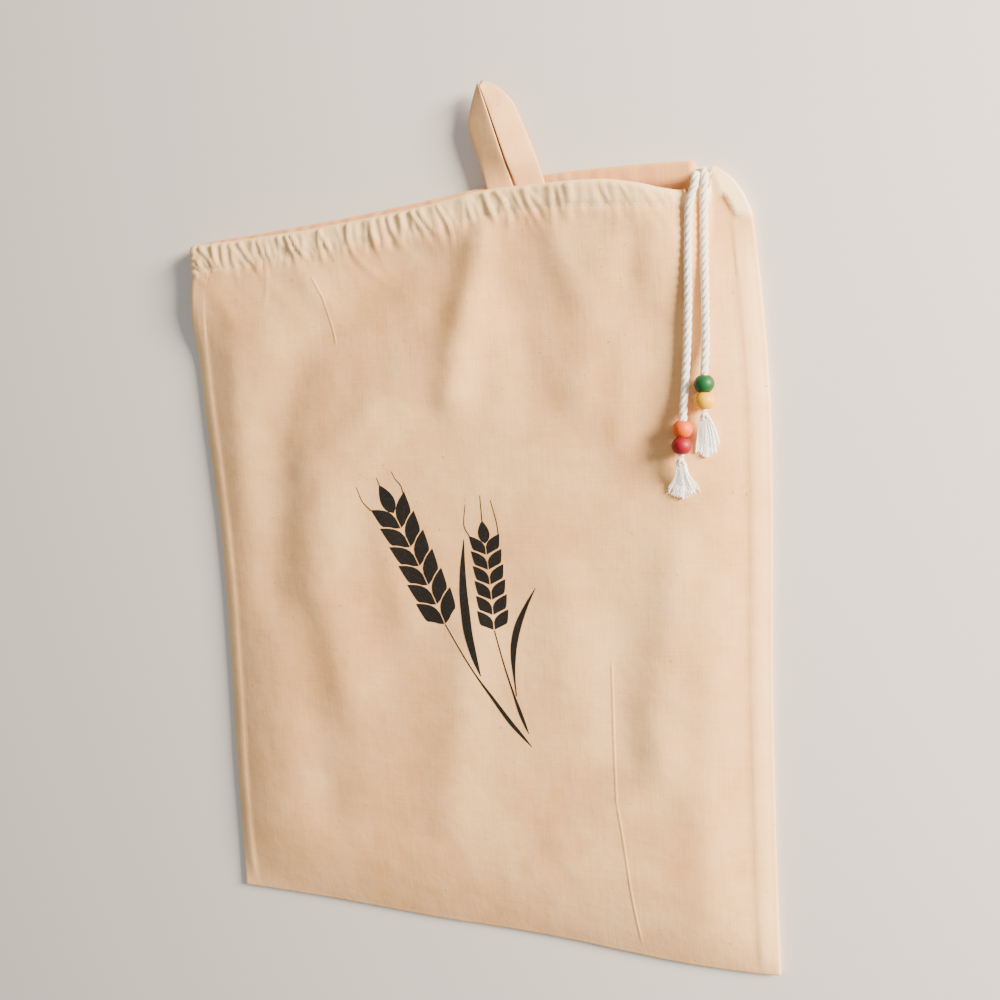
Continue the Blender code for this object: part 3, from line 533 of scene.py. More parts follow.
def front_at(x, depth, fine=True):
    """Middle of the front cloth in the hem, at a depth below the mouth."""
    y = steady_read(FRONT_MOUTH, x) - depth
    z = SOLID_HALF + front_gap(x, y, depth, fine)
    if fine:
        crest = gather_relief(x, y, steady_read(HEM_SEAM, x) - y)
        pinch = noise.noise(Vector((x / 0.0036, (y + 0.5 * x) / 0.0080, 3.3)))
        crest += 0.42 * pinch * steady_read(GATHERS, x) * ease((23 * MM - depth) / (8 * MM))
        z += crest
        y += 0.30 * crest * (1 - ease(depth / (6 * MM)))
    return Vector((x, y, z))


def back_at(x, depth):
    """Middle of the back cloth in the hem, which lies flat on the floor."""
    return Vector((x, steady_read(BACK_MOUTH, x) - depth, SOLID_HALF))


def rim_arc(front, outward, gap):
    """Points of the half circle that turns the front sheet's edge under to the back sheet."""
    centre = front - Vector((0, 0, gap / 2))
    points = []
    for k in range(1, RIM_STEPS):
        turn = math.pi * k / RIM_STEPS
        points.append(centre + outward * (gap / 2 * math.sin(turn))
                      + Vector((0, 0, gap / 2 * math.cos(turn))))
    return points


def casing_arc(front, back, side):
    """The hem's side from front to back: pairs of a point and the direction to the inside."""
    centre = (front.z + SOLID_HALF) / 2
    pairs = []
    for k, point in enumerate(rim_arc(front, Vector((side, 0, 0)), front.z - SOLID_HALF), 1):
        inward = Vector((front.x - point.x, 0, centre - point.z)).normalized()
        pairs.append((point + Vector((0, (back.y - front.y) * k / RIM_STEPS, 0)), inward))
    return pairs


def casing_ring(depth, fine=True, places=None):
    """Closed ring of the cloth at one depth: pairs of a point and the direction to the inside."""
    low, high = casing_side(depth, -1), casing_side(depth, 1)
    front_x = [column_x(column / 2, low, high) for column in range(FINE_LAST, -1, -1)]
    back_x = [mix(low, high, column / BACK_COLUMNS) for column in range(BACK_COLUMNS + 1)]
    if places:
        front_x, back_x = places(low, front_x, back_x)
    front = [front_at(x, depth, fine) for x in front_x]
    back = [back_at(x, depth) for x in back_x]
    ring = [(point, Vector((0, 0, -1))) for point in front]
    ring += casing_arc(front[-1], back[0], -1)
    ring += [(point, Vector((0, 0, 1))) for point in back]
    ring += casing_arc(front[0], back[-1], 1)[::-1]
    return ring


def hem_profile():
    """Depth and inward offset of the turned hem, from the fold to its stitched end."""
    profile = []
    for k in range(1, 6):
        turn = math.pi * k / 6
        profile.append((FOLD_R - FOLD_R * math.sin(turn), FOLD_R - FOLD_R * math.cos(turn)))
    for depth in (2.3, 4.4, 6.4, 8.2):
        profile.append((depth * MM, TUNNEL))
    return profile + [(10.4 * MM, 3.5 * MM), (12.2 * MM, 2.4 * MM), (14 * MM, 1.7 * MM), (16 * MM, 1.6 * MM)]


print("columns", COARSE_LAST, "rows", BODY_ROWS)

# %% [markdown]
# ## Building the cloth
# Rows of vertices are laid down first and then joined by strips of faces. The gathered hem needs
# twice as many columns as the panels, and a row of five-sided faces joins the two densities.


# %% Build the cloth's mesh
def add_strip(mesh, upper, lower, closed=False):
    """Quads between two rows of as many vertices."""
    for i in range(len(upper) if closed else len(upper) - 1):
        k = (i + 1) % len(upper)
        mesh.faces.new((upper[i], upper[k], lower[k], lower[i]))


def body_row_shares():
    """Rows from the hem's lower edge, close together there and at the bottom fold."""
    shares = []
    for k in range(1, BODY_ROWS + 1):
        t = k / BODY_ROWS
        shares.append(1 - (t - 0.055 * math.sin(2 * math.pi * t)))
    return shares


def front_rows():
    rows = []
    for number, share in enumerate(body_row_shares()):
        level = mix(-0.199, FRONT_MOUTH[-1][1] * MM - CASING_END, share)
        low = steady_read(LEFT_EDGE, level) + SOLID_HALF + left_gap(level) / 2
        high = steady_read(RIGHT_EDGE, level) - SOLID_HALF - right_gap(level) / 2
        row = []
        for column in range(FINE_LAST + 1) if number < FINE_ROWS else range(0, FINE_LAST + 1, 2):
            x = column_x(column / 2, low, high)
            top = steady_read(FRONT_MOUTH, x) - CASING_END
            y = mix(steady_read(BOTTOM_EDGE, x) + SOLID_HALF + EDGE_GAP / 2, top, share)
            z = SOLID_HALF + front_gap(x, y, steady_read(FRONT_MOUTH, x) - y)
            z += gather_relief(x, y, steady_read(HEM_SEAM, x) - y)
            row.append(Vector((x, y, z)))
        rows.append(row)
    return rows


def cloth_surface():
    """The bag's one cloth as an open surface: both panels, the rim and the hem."""
    mesh = bmesh.new()

    def add_row(points):
        return [mesh.verts.new(point) for point in points]

    rings = [add_row([point for point, inward in casing_ring(depth)]) for depth in RING_DEPTHS]
    for upper, lower in zip(rings, rings[1:]):
        add_strip(mesh, upper, lower, closed=True)
    ring_size = len(rings[0])
    back_start = FINE_LAST + RIM_STEPS
    back_end = back_start + BACK_COLUMNS

    # The hem's inner layer ends on a straight line at the right, where the cord comes out
    mouth = casing_ring(FOLD_R, False)
    hemmed = [i for i in range(back_start) if mouth[i][0].x <= FRONT_HEM_END]
    hemmed += [i for i in range(back_start, back_end + 1) if mouth[i][0].x <= BACK_HEM_END]
    first, last = mouth[hemmed[0]][0].x, mouth[hemmed[-1]][0].x
    left = casing_side(FOLD_R, -1)

    def hem_places(low, front_x, back_x):
        at_mouth = [point.x for point, inward in mouth]
        front_x = [low + (x - left) * (first - low) / (first - left) for x in at_mouth[:FINE_LAST + 1]]
        back_x = [low + (x - left) * (last - low) / (last - left)
                  for x in at_mouth[back_start:back_end + 1]]
        return front_x, back_x

    above = [rings[0][i] for i in hemmed]
    for depth, offset in hem_profile():
        base = casing_ring(depth, False, hem_places)
        row = []
        for i in hemmed:
            point, inward = base[i]
            lift = 0.0
            if i >= back_start:
                lift = 0.75 * gather_relief(point.x + 3.7 * MM, point.y, -10 * MM) * min(1.0, offset / TUNNEL)
            row.append(point + inward * (offset + lift))
        below = add_row(row)
        add_strip(mesh, below, above)
        above = below

    lowest = rings[-1]
    rows = front_rows()
    body = [add_row(row) for row in rows]
    upper = lowest[:FINE_LAST + 1][::-1]
    for lower in body:
        if len(lower) == len(upper):
            add_strip(mesh, upper[::-1], lower[::-1])
        else:
            for k in range(COARSE_LAST):
                mesh.faces.new((upper[2 * k + 1], upper[2 * k], lower[k], lower[k + 1], upper[2 * k + 2]))
        upper = lower

    stations = [(row[0], points[0], Vector((-1, 0, 0))) for row, points in zip(body, rows)]
    corner = 4
    for k in range(1, corner):
        turn = math.pi / 2 * k / corner
        stations.append((body[-1][0], rows[-1][0], Vector((-math.cos(turn), -math.sin(turn), 0))))
    stations += [(vertex, point, Vector((0, -1, 0))) for vertex, point in zip(body[-1], rows[-1])]
    for k in range(1, corner):
        turn = math.pi / 2 * k / corner
        stations.append((body[-1][-1], rows[-1][-1], Vector((math.sin(turn), -math.cos(turn), 0))))
    stations += [(row[-1], points[-1], Vector((1, 0, 0))) for row, points in zip(body[::-1], rows[::-1])]

    def ring_part(start, count):
        return [lowest[(start + i) % ring_size] for i in range(count)]

    previous = ring_part(FINE_LAST, RIM_STEPS + 1)
    back_edge = []
    for vertex, point, outward in stations:
        gap = point.z - SOLID_HALF
        arc = [vertex] + add_row(rim_arc(point, outward, gap))
        if previous[0] is vertex:
            arc.append(previous[-1])
        else:
            arc.append(mesh.verts.new(point - Vector((0, 0, gap))))
            back_edge.append(arc[-1])
        for i in range(RIM_STEPS):
            corners = [previous[i], arc[i], arc[i + 1], previous[i + 1]]
            corners = [v for n, v in enumerate(corners) if v is not corners[n - 1]]
            mesh.faces.new(corners[::-1])
        previous = arc
    last = ring_part(FINE_LAST + RIM_STEPS + BACK_COLUMNS, RIM_STEPS + 1)[::-1]
    for i in range(RIM_STEPS):
        mesh.faces.new((previous[i + 1], last[i + 1], last[i], previous[i]))

    # The back panel's rows run from the left rim's inner vertices to the right rim's
    upper = ring_part(back_start, BACK_COLUMNS + 1)
    left_side = back_edge[:BODY_ROWS]
    right_side = back_edge[-BODY_ROWS:][::-1]
    bottom_row = back_edge[BODY_ROWS - 1:-(BODY_ROWS - 1)]
    for k in range(BODY_ROWS):
        if k == BODY_ROWS - 1:
            lower = bottom_row
        else:
            a, b = left_side[k], right_side[k]
            share = body_row_shares()[k]
            inner = []
            for i in range(1, BACK_COLUMNS):
                straight = a.co.lerp(b.co, i / BACK_COLUMNS)
                under_hem = mix(bottom_row[i].co.y, ring_part(back_start + i, 1)[0].co.y, share)
                inner.append(mesh.verts.new((straight.x, under_hem, SOLID_HALF)))
            lower = [a] + inner + [b]
        add_strip(mesh, upper, lower)
        upper = lower
    bmesh.ops.recalc_face_normals(mesh, faces=mesh.faces)
    return mesh


surface = cloth_surface()
cloth_tree = BVHTree.FromBMesh(surface)
print("cloth", len(surface.faces), "faces in its middle surface")


# %% Painted paleness and shade of the cloth, thickness and attaching
def pale_and_highlight_share(point):
    """How pale the cloth is painted: paler where doubled in the hem and at the side seams, for less light coming
    through, and a painted highlight at the right corner.
    """
    hem = ease((point.y - steady_read(HEM_SEAM, point.x)) / (4 * MM) + 0.5)
    # The hem's right corner gets a painted highlight, the palest place of all.
    corner = ease((point.x - 0.136) / (6 * MM))
    left = steady_read(LEFT_EDGE, point.y)
    right = steady_read(RIGHT_EDGE, point.y)
    seam = 1 - ease((min(point.x - left, right - point.x) - 8.2 * MM) / (1.5 * MM))
    return max(hem * mix(0.45, 1.0, corner), 0.22 * seam)


def inside_shade_share(point):
    """Share of painted warm shade on the hem's inner layer, seen through the open mouth under the front layer."""
    if point.y < 0.170 or point.x > 0.140 or point.z < 2 * MM:
        return 0.0
    front = front_at(point.x, steady_read(FRONT_MOUTH, point.x) - point.y, False).z
    return 0.65 * ease((front - 2.4 * MM - point.z) / (1.6 * MM))


bag_mesh = bpy.data.meshes.new("bag_of_linen")
surface.to_mesh(bag_mesh)
surface.free()
bag_mesh.shade_smooth()
# Painted paleness where the cloth lies double, and a painted highlight at the right corner.
shares = [pale_and_highlight_share(vertex.co) for vertex in bag_mesh.vertices]
bag_mesh.attributes.new("double_cloth_and_highlight", "FLOAT", "POINT").data.foreach_set("value", shares)
# Painted warm shade on the hem's inner layer.
shares = [inside_shade_share(vertex.co) for vertex in bag_mesh.vertices]
bag_mesh.attributes.new("inside_hem_painted_shade", "FLOAT", "POINT").data.foreach_set("value", shares)
bag_mesh.materials.append(linen)
bag = bpy.data.objects.new("bag_of_linen", bag_mesh)
scene.collection.objects.link(bag)
wall = bag.modifiers.new("Thickness", "SOLIDIFY")
wall.thickness = CLOTH
wall.offset = 0.0
wall.use_even_offset = True
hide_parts("bag_cloth")
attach(bag, "root")
print("bag", len(bag_mesh.polygons), "faces before its thickness")


# %% [markdown]
# ## Laying things on the cloth
# Stitches, the print and the frayed ends all lie on the front panel. A ray dropped straight down
# finds the cloth's middle surface below any place.


# %% Drop a place onto the cloth
def on_cloth(x, y, above=0.0):
    """The point on the front panel's upper face, or above it."""
    hit = cloth_tree.ray_cast(Vector((x, y, 0.1)), Vector((0, 0, -1)))[0]
    height = hit.z if hit is not None else 0.0
    return Vector((x, y, height + CLOTH / 2 + above))


print("cloth top in the middle", round(on_cloth(0, 0).z / MM, 1), "mm")

# %% [markdown]
# ## The printed wheat
# The print is flat black ink on the cloth: two ears with paired grains, three awns each, thin
# stems and two slender leaves. It could be painted in the material, but ink has a crisp edge and
# a film of its own, so it is made as a very thin sheet that lies on the weave. The grains repeat,
# so Geometry Nodes set them out: a leaf-shaped grid, turned outwards to both sides of a line.


# %% Ink material
def make_ink():
    """Water-based screen ink: near black, matt, with the weave faintly showing through."""
    material = bpy.data.materials.new("black_screen_ink")
    material.use_nodes = True
    tree = material.node_tree
    shader = tree.nodes["Principled BSDF"]
    place = add_node(tree, "ShaderNodeTexCoord").outputs["Object"]
    worn = add_node(tree, "ShaderNodeTexNoise", {"Vector": place, "Scale": 1 / (1.1 * MM), "Detail": 2.0})
    share = add_node(tree, "ShaderNodeMapRange", {"Value": worn.outputs[0], "From Min": 0.5, "From Max": 0.85})
    colour = add_node(tree, "ShaderNodeMix", {"Factor": share.outputs[0], "A": linear("#120F0C"),
                                              "B": linear("#2A241D")}, data_type="RGBA")
    tree.links.new(colour.outputs["Result"], shader.inputs["Base Color"])
    bump = add_node(tree, "ShaderNodeBump", {"Height": worn.outputs[0], "Distance": 0.15 * MM, "Strength": 0.5})
    tree.links.new(bump.outputs[0], shader.inputs["Normal"])
    shader.inputs["Roughness"].default_value = 0.75
    shader.inputs["Specular IOR Level"].default_value = 0.3
    return material


ink = make_ink()
print("ink ready")


# %% Grains of an ear
def ear_tree():
    """Mirrored pairs of grains along +Y from the origin, and one almond-shaped grain on top."""
    sizes = ["Number of pairs", "Pitch", "Grain width", "Grain height", "Gap", "Split", "Top start",
             "Top length", "Top width"]
    tree, given = start_tree("ear_of_wheat", sizes)
    grid = add_node(tree, "GeometryNodeMeshGrid", {"Size X": 1.0, "Size Y": 1.0, "Vertices X": 12,
                                                   "Vertices Y": 10}).outputs["Mesh"]
    axes = add_node(tree, "ShaderNodeSeparateXYZ",
                    {0: add_node(tree, "GeometryNodeInputPosition").outputs[0]}).outputs
    out = add_math(tree, "ADD", axes[0], 0.5)
    up = add_math(tree, "ADD", axes[1], 0.5)

    # A grain fills the band between two like curves that climb from the stem to its tip
    swell = add_math(tree, "ADD", 0.80, add_math(tree, "MULTIPLY", add_math(tree, "POWER", up, 0.45), 0.20))
    x = add_math(tree, "MULTIPLY", add_math(tree, "MULTIPLY", out, given["Grain width"]), swell)
    x = add_math(tree, "ADD", x, given["Split"])
    share = add_math(tree, "DIVIDE", x, given["Grain width"])
    top = add_math(tree, "MULTIPLY", add_math(tree, "POWER", share, 0.27), given["Grain height"])
    low = add_math(tree, "SUBTRACT", top, add_math(tree, "SUBTRACT", given["Pitch"], given["Gap"]))
    low = add_math(tree, "MAXIMUM", low, add_math(tree, "MULTIPLY", x, 0.42))
    y = add_math(tree, "ADD", low, add_math(tree, "MULTIPLY", add_math(tree, "SUBTRACT", top, low), up))
    shaped = add_node(tree, "ShaderNodeCombineXYZ", {0: x, 1: y}).outputs[0]
    grain = add_node(tree, "GeometryNodeSetPosition", {"Geometry": grid, "Position": shaped}).outputs[0]

    belly = add_math(tree, "SINE", add_math(tree, "MULTIPLY", add_math(tree, "POWER", up, 0.8), math.pi))
    belly = add_math(tree, "POWER", add_math(tree, "MAXIMUM", belly, 0.0), 0.85)
    x = add_math(tree, "MULTIPLY", add_math(tree, "MULTIPLY", axes[0], belly), given["Top width"])
    y = add_math(tree, "ADD", given["Top start"], add_math(tree, "MULTIPLY", up, given["Top length"]))
    shaped = add_node(tree, "ShaderNodeCombineXYZ", {0: x, 1: y}).outputs[0]
    top_grain = add_node(tree, "GeometryNodeSetPosition", {"Geometry": grid, "Position": shaped}).outputs[0]

    step = add_node(tree, "ShaderNodeCombineXYZ", {1: given["Pitch"]}).outputs[0]
    rail = add_node(tree, "GeometryNodeMeshLine", {"Count": given["Number of pairs"], "Offset": step}).outputs[0]
    ear = add_node(tree, "GeometryNodeJoinGeometry")
    tree.links.new(top_grain, ear.inputs[0])
    for side in (1, -1):
        placed = add_node(tree, "GeometryNodeInstanceOnPoints", {"Points": rail, "Instance": grain,
                                                                 "Scale": (side, 1.0, 1.0)}).outputs[0]
        tree.links.new(placed, ear.inputs[0])
    end_tree(tree, given, ear.outputs[0])
    return tree


ear_maker = ear_tree()
EARS = [
    # base, tip and bow in mm, then the sizes of its grains in mm
    {"base": (-4.0, -23.3), "tip": (-38.5, 52.8), "bow": 0.8, "Pitch": 11.4, "Grain width": 11.2,
     "Grain height": 16.6, "Gap": 0.8, "Split": 0.35, "Top start": 66.2, "Top length": 17.4, "Top width": 8.4},
    {"base": (24.5, -25.7), "tip": (20.9, 32.2), "bow": 0.5, "Pitch": 8.0, "Grain width": 8.5,
     "Grain height": 10.5, "Gap": 0.65, "Split": 0.3, "Top start": 46.0, "Top length": 12.0,
     "Top width": 6.6},
]
seed_mesh = line_mesh("ear_start", [[(0, 0, 0), (0, 0.001, 0)]])


def place_in_ear(ear, x, y):
    """A place drawn beside a straight ear, in metres, put where that ear grows on the cloth."""
    base = Vector(ear["base"]) * MM
    run = Vector(ear["tip"]) * MM - base
    ahead = run.normalized()
    side = Vector((ahead.y, -ahead.x))
    bow = ear["bow"] * MM * math.sin(math.pi * min(max(y / run.length, 0.0), 1.0))
    return base + ahead * y + side * (x + bow)


printed = bmesh.new()
for ear in EARS:
    values = {label: size * MM for label, size in ear.items() if label[0].isupper()}
    grains = grow("grains", seed_mesh.copy(), ear_maker, {"Number of pairs": 6, "Finish": ink, **values})
    for vertex in grains.data.vertices:
        flat = place_in_ear(ear, vertex.co.x, vertex.co.y)
        vertex.co = on_cloth(flat.x, flat.y, 0.12 * MM)
    printed.from_mesh(grains.data)
    bpy.data.objects.remove(grains, do_unlink=True)
bmesh.ops.remove_doubles(printed, verts=printed.verts, dist=0.002 * MM)
print("grains", len(printed.faces), "faces")

# %% [markdown]
# ## Stems, leaves and awns
# These are ribbons of ink of changing width. Each is drawn by a few points and a width at each,
# and a smooth curve runs through them.


# %% Ribbons of ink
def smooth_line(points, spacing):
    """Evenly spaced places on the smooth curve through points of any dimension."""
    points = [Vector(point) for point in points]
    ends = [2 * points[0] - points[1]] + points + [2 * points[-1] - points[-2]]
    dense = []
    for p0, p1, p2, p3 in zip(ends, ends[1:], ends[2:], ends[3:]):
        for k in range(12):
            t = k / 12
            dense.append(0.5 * (2 * p1 + (p2 - p0) * t + (2 * p0 - 5 * p1 + 4 * p2 - p3) * t * t
                                + (3 * p1 - p0 - 3 * p2 + p3) * t ** 3))
    dense.append(points[-1])
    walked = [0.0]
    for a, b in zip(dense, dense[1:]):
        walked.append(walked[-1] + (b - a).length)
    count = max(2, round(walked[-1] / spacing))
    places = []
    i = 0
    for k in range(count + 1):
        goal = walked[-1] * k / count
        while i < len(dense) - 2 and walked[i + 1] < goal:
            i += 1
        share = (goal - walked[i]) / max(walked[i + 1] - walked[i], 1e-9)
        places.append(dense[i].lerp(dense[i + 1], share))
    return places


def add_ribbon(mesh, table):
    """A ribbon through rows of x, y and width in mm."""
    places = smooth_line([Vector(row) * MM for row in table], 1.1 * MM)
    rows = []
    for i, place in enumerate(places):
        ahead = places[min(i + 1, len(places) - 1)] - places[max(i - 1, 0)]
        side = Vector((ahead.y, -ahead.x)).normalized()
        half = max(place.z / 2, 0.10 * MM)
        rows.append([mesh.verts.new(on_cloth(place.x + side.x * half * k, place.y + side.y * half * k,
                                             0.12 * MM)) for k in (-1, 0, 1)])
    for upper, lower in zip(rows, rows[1:]):
        add_strip(mesh, upper, lower)


RIBBONS = {
    # x, y, width in mm
    "big stem": [(-4, -23.5, 0.6), (12, -49.5, 0.8), (19, -60.0, 1.5), (29, -74, 2.4), (36, -82, 1.7),
                 (41.5, -88, 0.3)],
    "small stem": [(24.6, -26, 0.6), (28.8, -45, 0.7), (33, -60, 1.1), (36, -69.5, 2.0), (38.5, -76.5, 1.4),
                   (40.3, -81, 0.3)],
    "middle leaf": [(9.8, 22.5, 0.2), (8.2, 8, 2.9), (7.7, -6.5, 4.7), (8.6, -18, 5.3), (9.8, -28, 5.0),
                    (12.3, -40, 3.4), (15.3, -51, 0.4)],
    "right leaf": [(48.8, -3, 0.2), (43, -12.5, 2.0), (37.9, -23, 3.6), (35, -33, 3.6), (34, -42, 2.6),
                   (34, -51, 1.1), (34.6, -61, 0.5)],
    "big left awn": [(-44.6, 38.7, 0.6), (-49.6, 44.0, 0.45), (-52.5, 52.2, 0.3)],
    "big middle awn": [(-38.2, 52.0, 0.6), (-39.8, 57.0, 0.3)],
    "big right awn": [(-24.3, 47.6, 0.6), (-25.4, 52.0, 0.5), (-28.6, 56.0, 0.4), (-30.4, 60.0, 0.3)],
    "small left awn": [(13.2, 24.2, 0.5), (10.4, 30.0, 0.45), (11.8, 41.0, 0.3)],
    "small middle awn": [(21.0, 31.6, 0.55), (20.6, 45.6, 0.3)],
    "small right awn": [(29.8, 25.0, 0.5), (29.0, 32.0, 0.45), (26.4, 43.0, 0.3)],
}
for table in RIBBONS.values():
    add_ribbon(printed, table)
bmesh.ops.recalc_face_normals(printed, faces=printed.faces)
for face in printed.faces:
    if face.normal.z < 0:
        face.normal_flip()
ink_mesh = bpy.data.meshes.new("wheat_print")
printed.to_mesh(ink_mesh)
printed.free()
ink_mesh.shade_flat()
ink_mesh.materials.clear()
ink_mesh.materials.append(ink)
wheat_print = bpy.data.objects.new("wheat_print", ink_mesh)
scene.collection.objects.link(wheat_print)
film = wheat_print.modifiers.new("Film", "SOLIDIFY")
film.thickness = 0.08 * MM
film.offset = -1.0
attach(wheat_print, "root")
print("print", len(ink_mesh.polygons), "faces")

# %% [markdown]
# ## Stitches of the hem
# One row of lockstitch holds the hem down, about 3 mm to a stitch, in thread of the cloth's own
# colour. Each stitch is a little spindle that dips at both ends, repeated along the seam.


# %% Sewing thread and stitches
def make_thread(name, hex_colour, roughness, painted_glow=0.0):
    """Spun cotton: soft matt fibres. The painted glow is an emission that stands in for the light that scatters
    among fibres finer than drawn.
    """
    material = bpy.data.materials.new(name)
    material.use_nodes = True
    tree = material.node_tree
    shader = tree.nodes["Principled BSDF"]
    place = add_node(tree, "ShaderNodeTexCoord").outputs["Object"]
    fuzz = add_node(tree, "ShaderNodeTexNoise", {"Vector": place, "Scale": 1 / (1.6 * MM), "Detail": 4.0})
    dark = [c * 0.82 for c in linear(hex_colour)[:3]] + [1.0]
    colour = add_node(tree, "ShaderNodeMix", {"Factor": fuzz.outputs[0], "A": dark, "B": linear(hex_colour)},
                      data_type="RGBA")
    tree.links.new(colour.outputs["Result"], shader.inputs["Base Color"])
    bump = add_node(tree, "ShaderNodeBump", {"Height": fuzz.outputs[0], "Distance": 0.3 * MM, "Strength": 0.6})
    tree.links.new(bump.outputs[0], shader.inputs["Normal"])
    shader.inputs["Roughness"].default_value = roughness
    shader.inputs["Sheen Weight"].default_value = 0.2
    shader.inputs["Specular IOR Level"].default_value = 0.25
    shader.inputs["Emission Color"].default_value = linear("#FFF3E2")
    shader.inputs["Emission Strength"].default_value = painted_glow
    return material


sewing_thread = make_thread("cotton_sewing_thread", "#E9DDC6", 0.8)


def stitch_tree():
    """Spindles of thread, one every pitch, along lines on the cloth."""
    tree, given = start_tree("row_of_stitches", ["Pitch", "Stitch length", "Thread radius"])
    curve = add_node(tree, "GeometryNodeMeshToCurve", {0: given["Start"]}).outputs[0]
    spots = add_node(tree, "GeometryNodeCurveToPoints", {"Curve": curve, "Length": given["Pitch"]},
                     mode="LENGTH").outputs
    turn = add_node(tree, "FunctionNodeAlignRotationToVector", {"Vector": spots["Tangent"]}, axis="X").outputs[0]
    spindle = add_node(tree, "GeometryNodeMeshIcoSphere", {"Radius": 1.0, "Subdivisions": 2}).outputs[0]
    size = add_node(tree, "ShaderNodeCombineXYZ",
                    {0: add_math(tree, "MULTIPLY", given["Stitch length"], 0.5),
                     1: given["Thread radius"], 2: given["Thread radius"]}).outputs[0]
    row = add_node(tree, "GeometryNodeInstanceOnPoints", {"Points": spots["Points"], "Instance": spindle,
                                                          "Rotation": turn, "Scale": size}).outputs[0]
    end_tree(tree, given, row)
    return tree


seam_line = []
x = -0.1535
while x < 0.1585:
    seam_line.append(on_cloth(x, steady_read(HEM_SEAM, x), -0.02 * MM))
    x += 1.0 * MM
hem_stitches = grow("hem_stitches", line_mesh("seam_line", [seam_line]), stitch_tree(),
                    {"Pitch": 3.1 * MM, "Stitch length": 2.4 * MM, "Thread radius": 0.20 * MM,
                     "Finish": sewing_thread})
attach(hem_stitches, "root")

# %% [markdown]
# ## The drawstring
# The cord is about 4 mm thick and laid from three plies, with a full turn every 12.6 mm. A plain
# tube with a bumpy finish looks like a tube, so the three lobes are real: a three-lobed outline is
# swept along the route while it turns. Where the hem squeezes it, the cord is thinner.


# %% Cotton cord material
def make_cord_cotton():
    """Soft white cotton, fibres lying along each ply, with painted shade in the grooves between plies and a faint
    painted glow.
    """
    material = bpy.data.materials.new("laid_cotton_cord_painted_shade_and_glow")
    material.use_nodes = True
    tree = material.node_tree
    shader = tree.nodes["Principled BSDF"]
    around = add_node(tree, "ShaderNodeAttribute", attribute_name="around").outputs["Fac"]
    along = add_node(tree, "ShaderNodeAttribute", attribute_name="along").outputs["Fac"]
    groove = add_node(tree, "ShaderNodeAttribute", attribute_name="lobe").outputs["Fac"]
    place = add_node(tree, "ShaderNodeCombineXYZ", {0: add_math(tree, "MULTIPLY", around, 26.0),
                                                    1: add_math(tree, "MULTIPLY", along, 1 / (5 * MM))})
    fibres = add_node(tree, "ShaderNodeTexNoise", {"Vector": place.outputs[0], "Scale": 1.0, "Detail": 3.0})
    # Painted shade: the grooves between the plies are painted darker.
    depth = add_node(tree, "ShaderNodeMapRange", {"Value": groove, "From Min": 0.0, "From Max": 0.55})
    colour = add_node(tree, "ShaderNodeMix", {"Factor": depth.outputs[0], "A": linear("#AE9A80"),
                                              "B": linear("#FFF6E8")}, data_type="RGBA")
    soft = add_node(tree, "ShaderNodeMix", {"Factor": add_math(tree, "MULTIPLY", fibres.outputs[0], 0.45),
                                            "A": colour.outputs["Result"], "B": linear("#E2D2BA")},
                    data_type="RGBA")
    tree.links.new(soft.outputs["Result"], shader.inputs["Base Color"])
    bump = add_node(tree, "ShaderNodeBump", {"Height": fibres.outputs[0], "Distance": 0.35 * MM,
                                             "Strength": 0.7})
    tree.links.new(bump.outputs[0], shader.inputs["Normal"])
    shader.inputs["Roughness"].default_value = 0.88
    # Painted glow: a faint emission makes the cord whiter than its light gives.
    shader.inputs["Emission Color"].default_value = linear("#FFF3E2")
    shader.inputs["Emission Strength"].default_value = 0.14
    shader.inputs["Sheen Weight"].default_value = 0.25
    shader.inputs["Specular IOR Level"].default_value = 0.25
    return material


cord_cotton = make_cord_cotton()
print("cord cotton ready")


